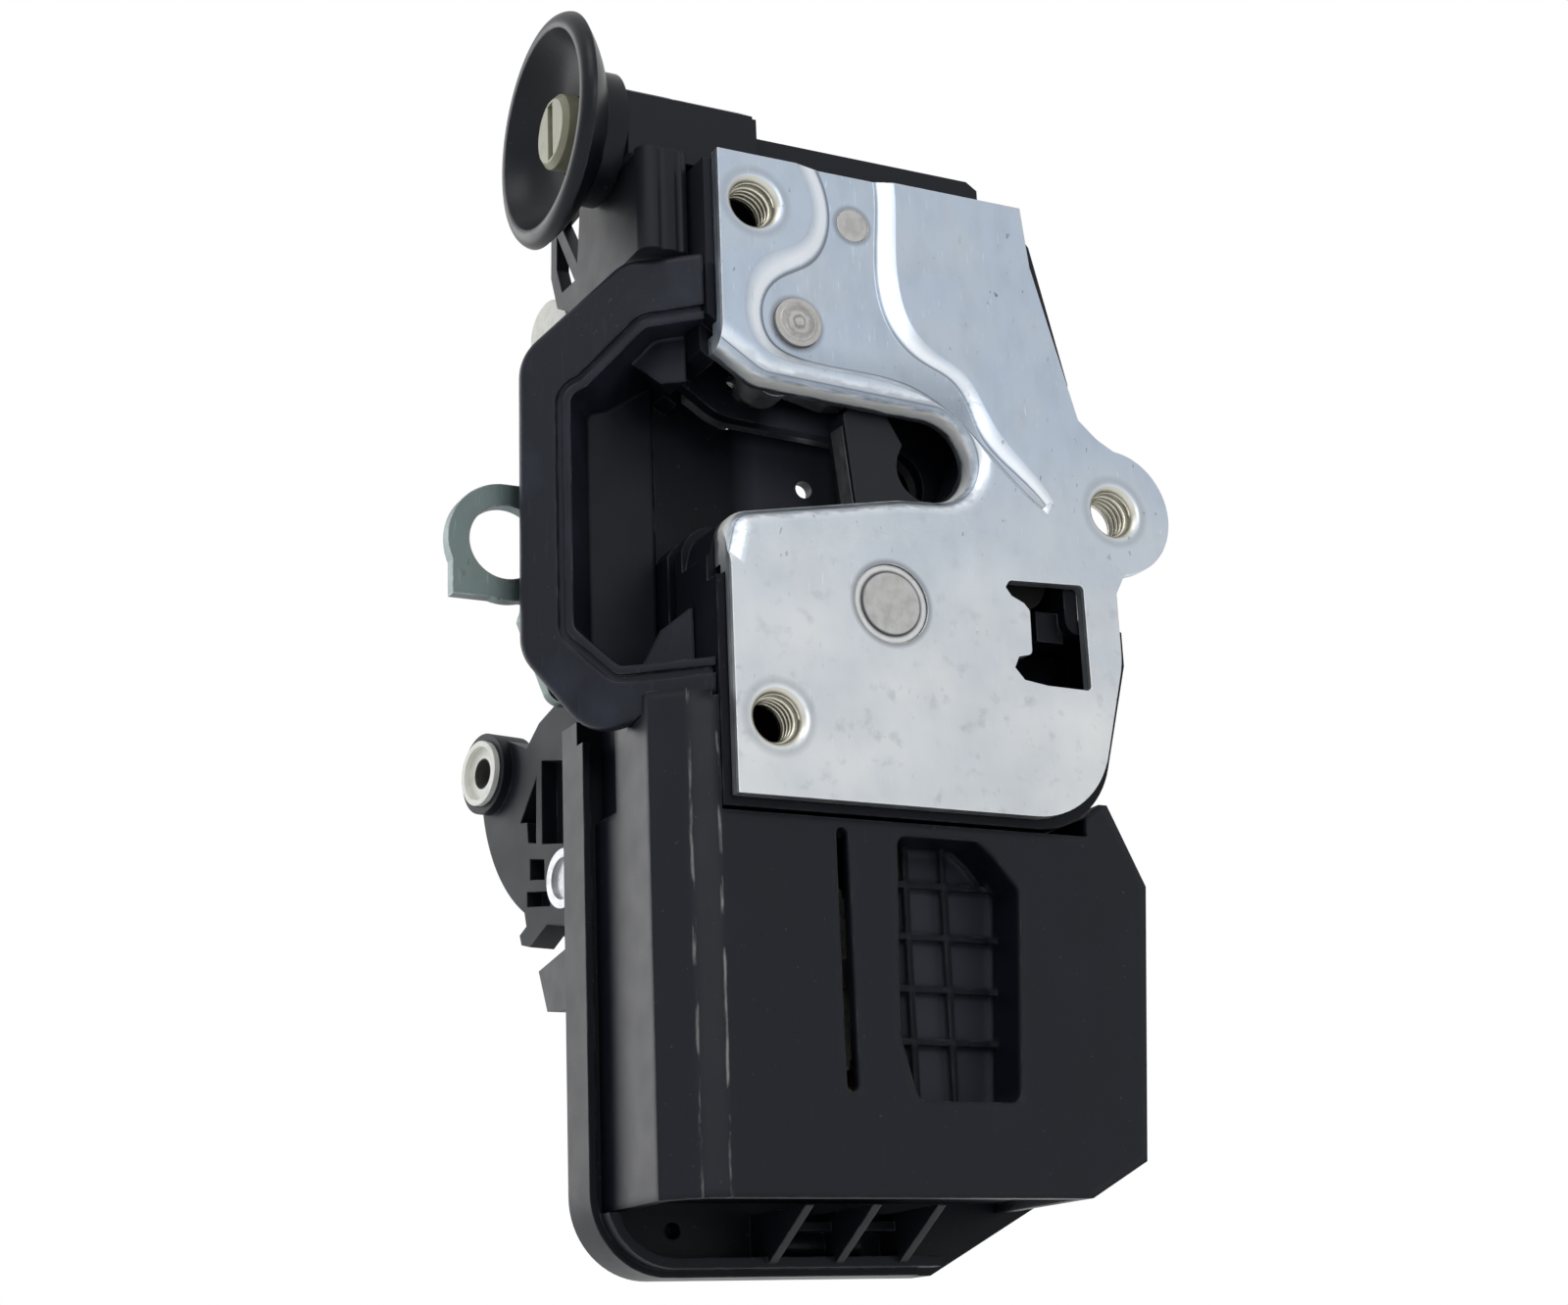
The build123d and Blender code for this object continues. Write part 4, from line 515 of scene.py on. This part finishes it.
# ---------------------------------------------------------------- camera
RIGHT = (0.8932214, -0.44797267, -0.03841895)
UP = (-0.09679571, -0.27503815, 0.95654828)
BACK = (-0.43907416, -0.8506906, -0.2890318)
EYE = (-0.166890, -0.290366, -0.107470)


def add_camera():
    data = bpy.data.cameras.new("camera")
    data.sensor_fit = "HORIZONTAL"
    data.sensor_width = 36
    data.lens = 58.5
    data.clip_start = 0.01
    data.clip_end = 20
    camera = bpy.data.objects.new("camera", data)
    bpy.context.collection.objects.link(camera)
    turn = Matrix((RIGHT, UP, BACK)).transposed().to_4x4()
    camera.matrix_world = Matrix.Translation(EYE) @ turn
    bpy.context.scene.camera = camera


# ---------------------------------------------------------------- studio
def area_light(name, place, target, size, power):
    data = bpy.data.lights.new(name, "AREA")
    data.shape = "RECTANGLE"
    data.size, data.size_y = size
    data.energy = power
    lamp = bpy.data.objects.new(name, data)
    bpy.context.collection.objects.link(lamp)
    lamp.location = place
    lamp.rotation_euler = (Vector(target) - Vector(place)).to_track_quat("-Z", "Y").to_euler()


def backdrop_level(tree, light, seen_as=1.0):
    """seen_as for camera, glossy and transmission rays, and light for what falls on the object."""
    path = tree.nodes.new("ShaderNodeLightPath")
    seen = tree.nodes.new("ShaderNodeMath")
    seen.operation = "MAXIMUM"
    tree.links.new(path.outputs["Is Camera Ray"], seen.inputs[0])
    tree.links.new(path.outputs["Is Glossy Ray"], seen.inputs[1])
    any_seen = tree.nodes.new("ShaderNodeMath")
    any_seen.operation = "MAXIMUM"
    tree.links.new(seen.outputs[0], any_seen.inputs[0])
    tree.links.new(path.outputs["Is Transmission Ray"], any_seen.inputs[1])
    level = tree.nodes.new("ShaderNodeMapRange")
    level.inputs["To Min"].default_value = light
    level.inputs["To Max"].default_value = seen_as
    tree.links.new(any_seen.outputs[0], level.inputs["Value"])
    return level.outputs["Result"]


def add_world():
    world = bpy.data.worlds.new("studio")
    bpy.context.scene.world = world
    world.use_nodes = True
    tree = world.node_tree
    background = tree.nodes["Background"]
    background.inputs["Color"].default_value = (1.0, 1.0, 1.0, 1)
    tree.links.new(backdrop_level(tree, WORLD_LIGHT), background.inputs["Strength"])


def add_floor():
    mesh = bpy.data.meshes.new("floor")
    signs = ((-1, -1), (1, -1), (1, 1), (-1, 1))
    corners = [(x * FLOOR_HALF, y * FLOOR_HALF, FLOOR_LEVEL) for x, y in signs]
    mesh.from_pydata(corners, [], [(0, 1, 2, 3)])
    floor = bpy.data.objects.new("floor", mesh)
    bpy.context.collection.objects.link(floor)
    material = bpy.data.materials.new("floor_pale")
    material.use_nodes = True
    shader = material.node_tree.nodes["Principled BSDF"]
    shader.inputs["Base Color"].default_value = (0.86, 0.87, 0.88, 1)
    shader.inputs["Roughness"].default_value = 0.9
    shader.inputs["Emission Color"].default_value = (1, 1, 1, 1)
    glow = backdrop_level(material.node_tree, 0.0, FLOOR_GLOW)
    material.node_tree.links.new(glow, shader.inputs["Emission Strength"])
    mesh.materials.append(material)


add_camera()
add_world()
add_floor()
area_light("key", (-0.75, -0.8, 1.2), (0, 0, 0), (0.8, 0.8), 6)
area_light("left", (-0.75, 1.15, 0.35), (0, 0.02, -0.02), (0.9, 1.0), 7)
area_light("front", (-0.20, -1.35, 0.42), (0, 0, 0), (0.35, 0.35), 3)
bpy.context.scene.view_settings.view_transform = "Standard"
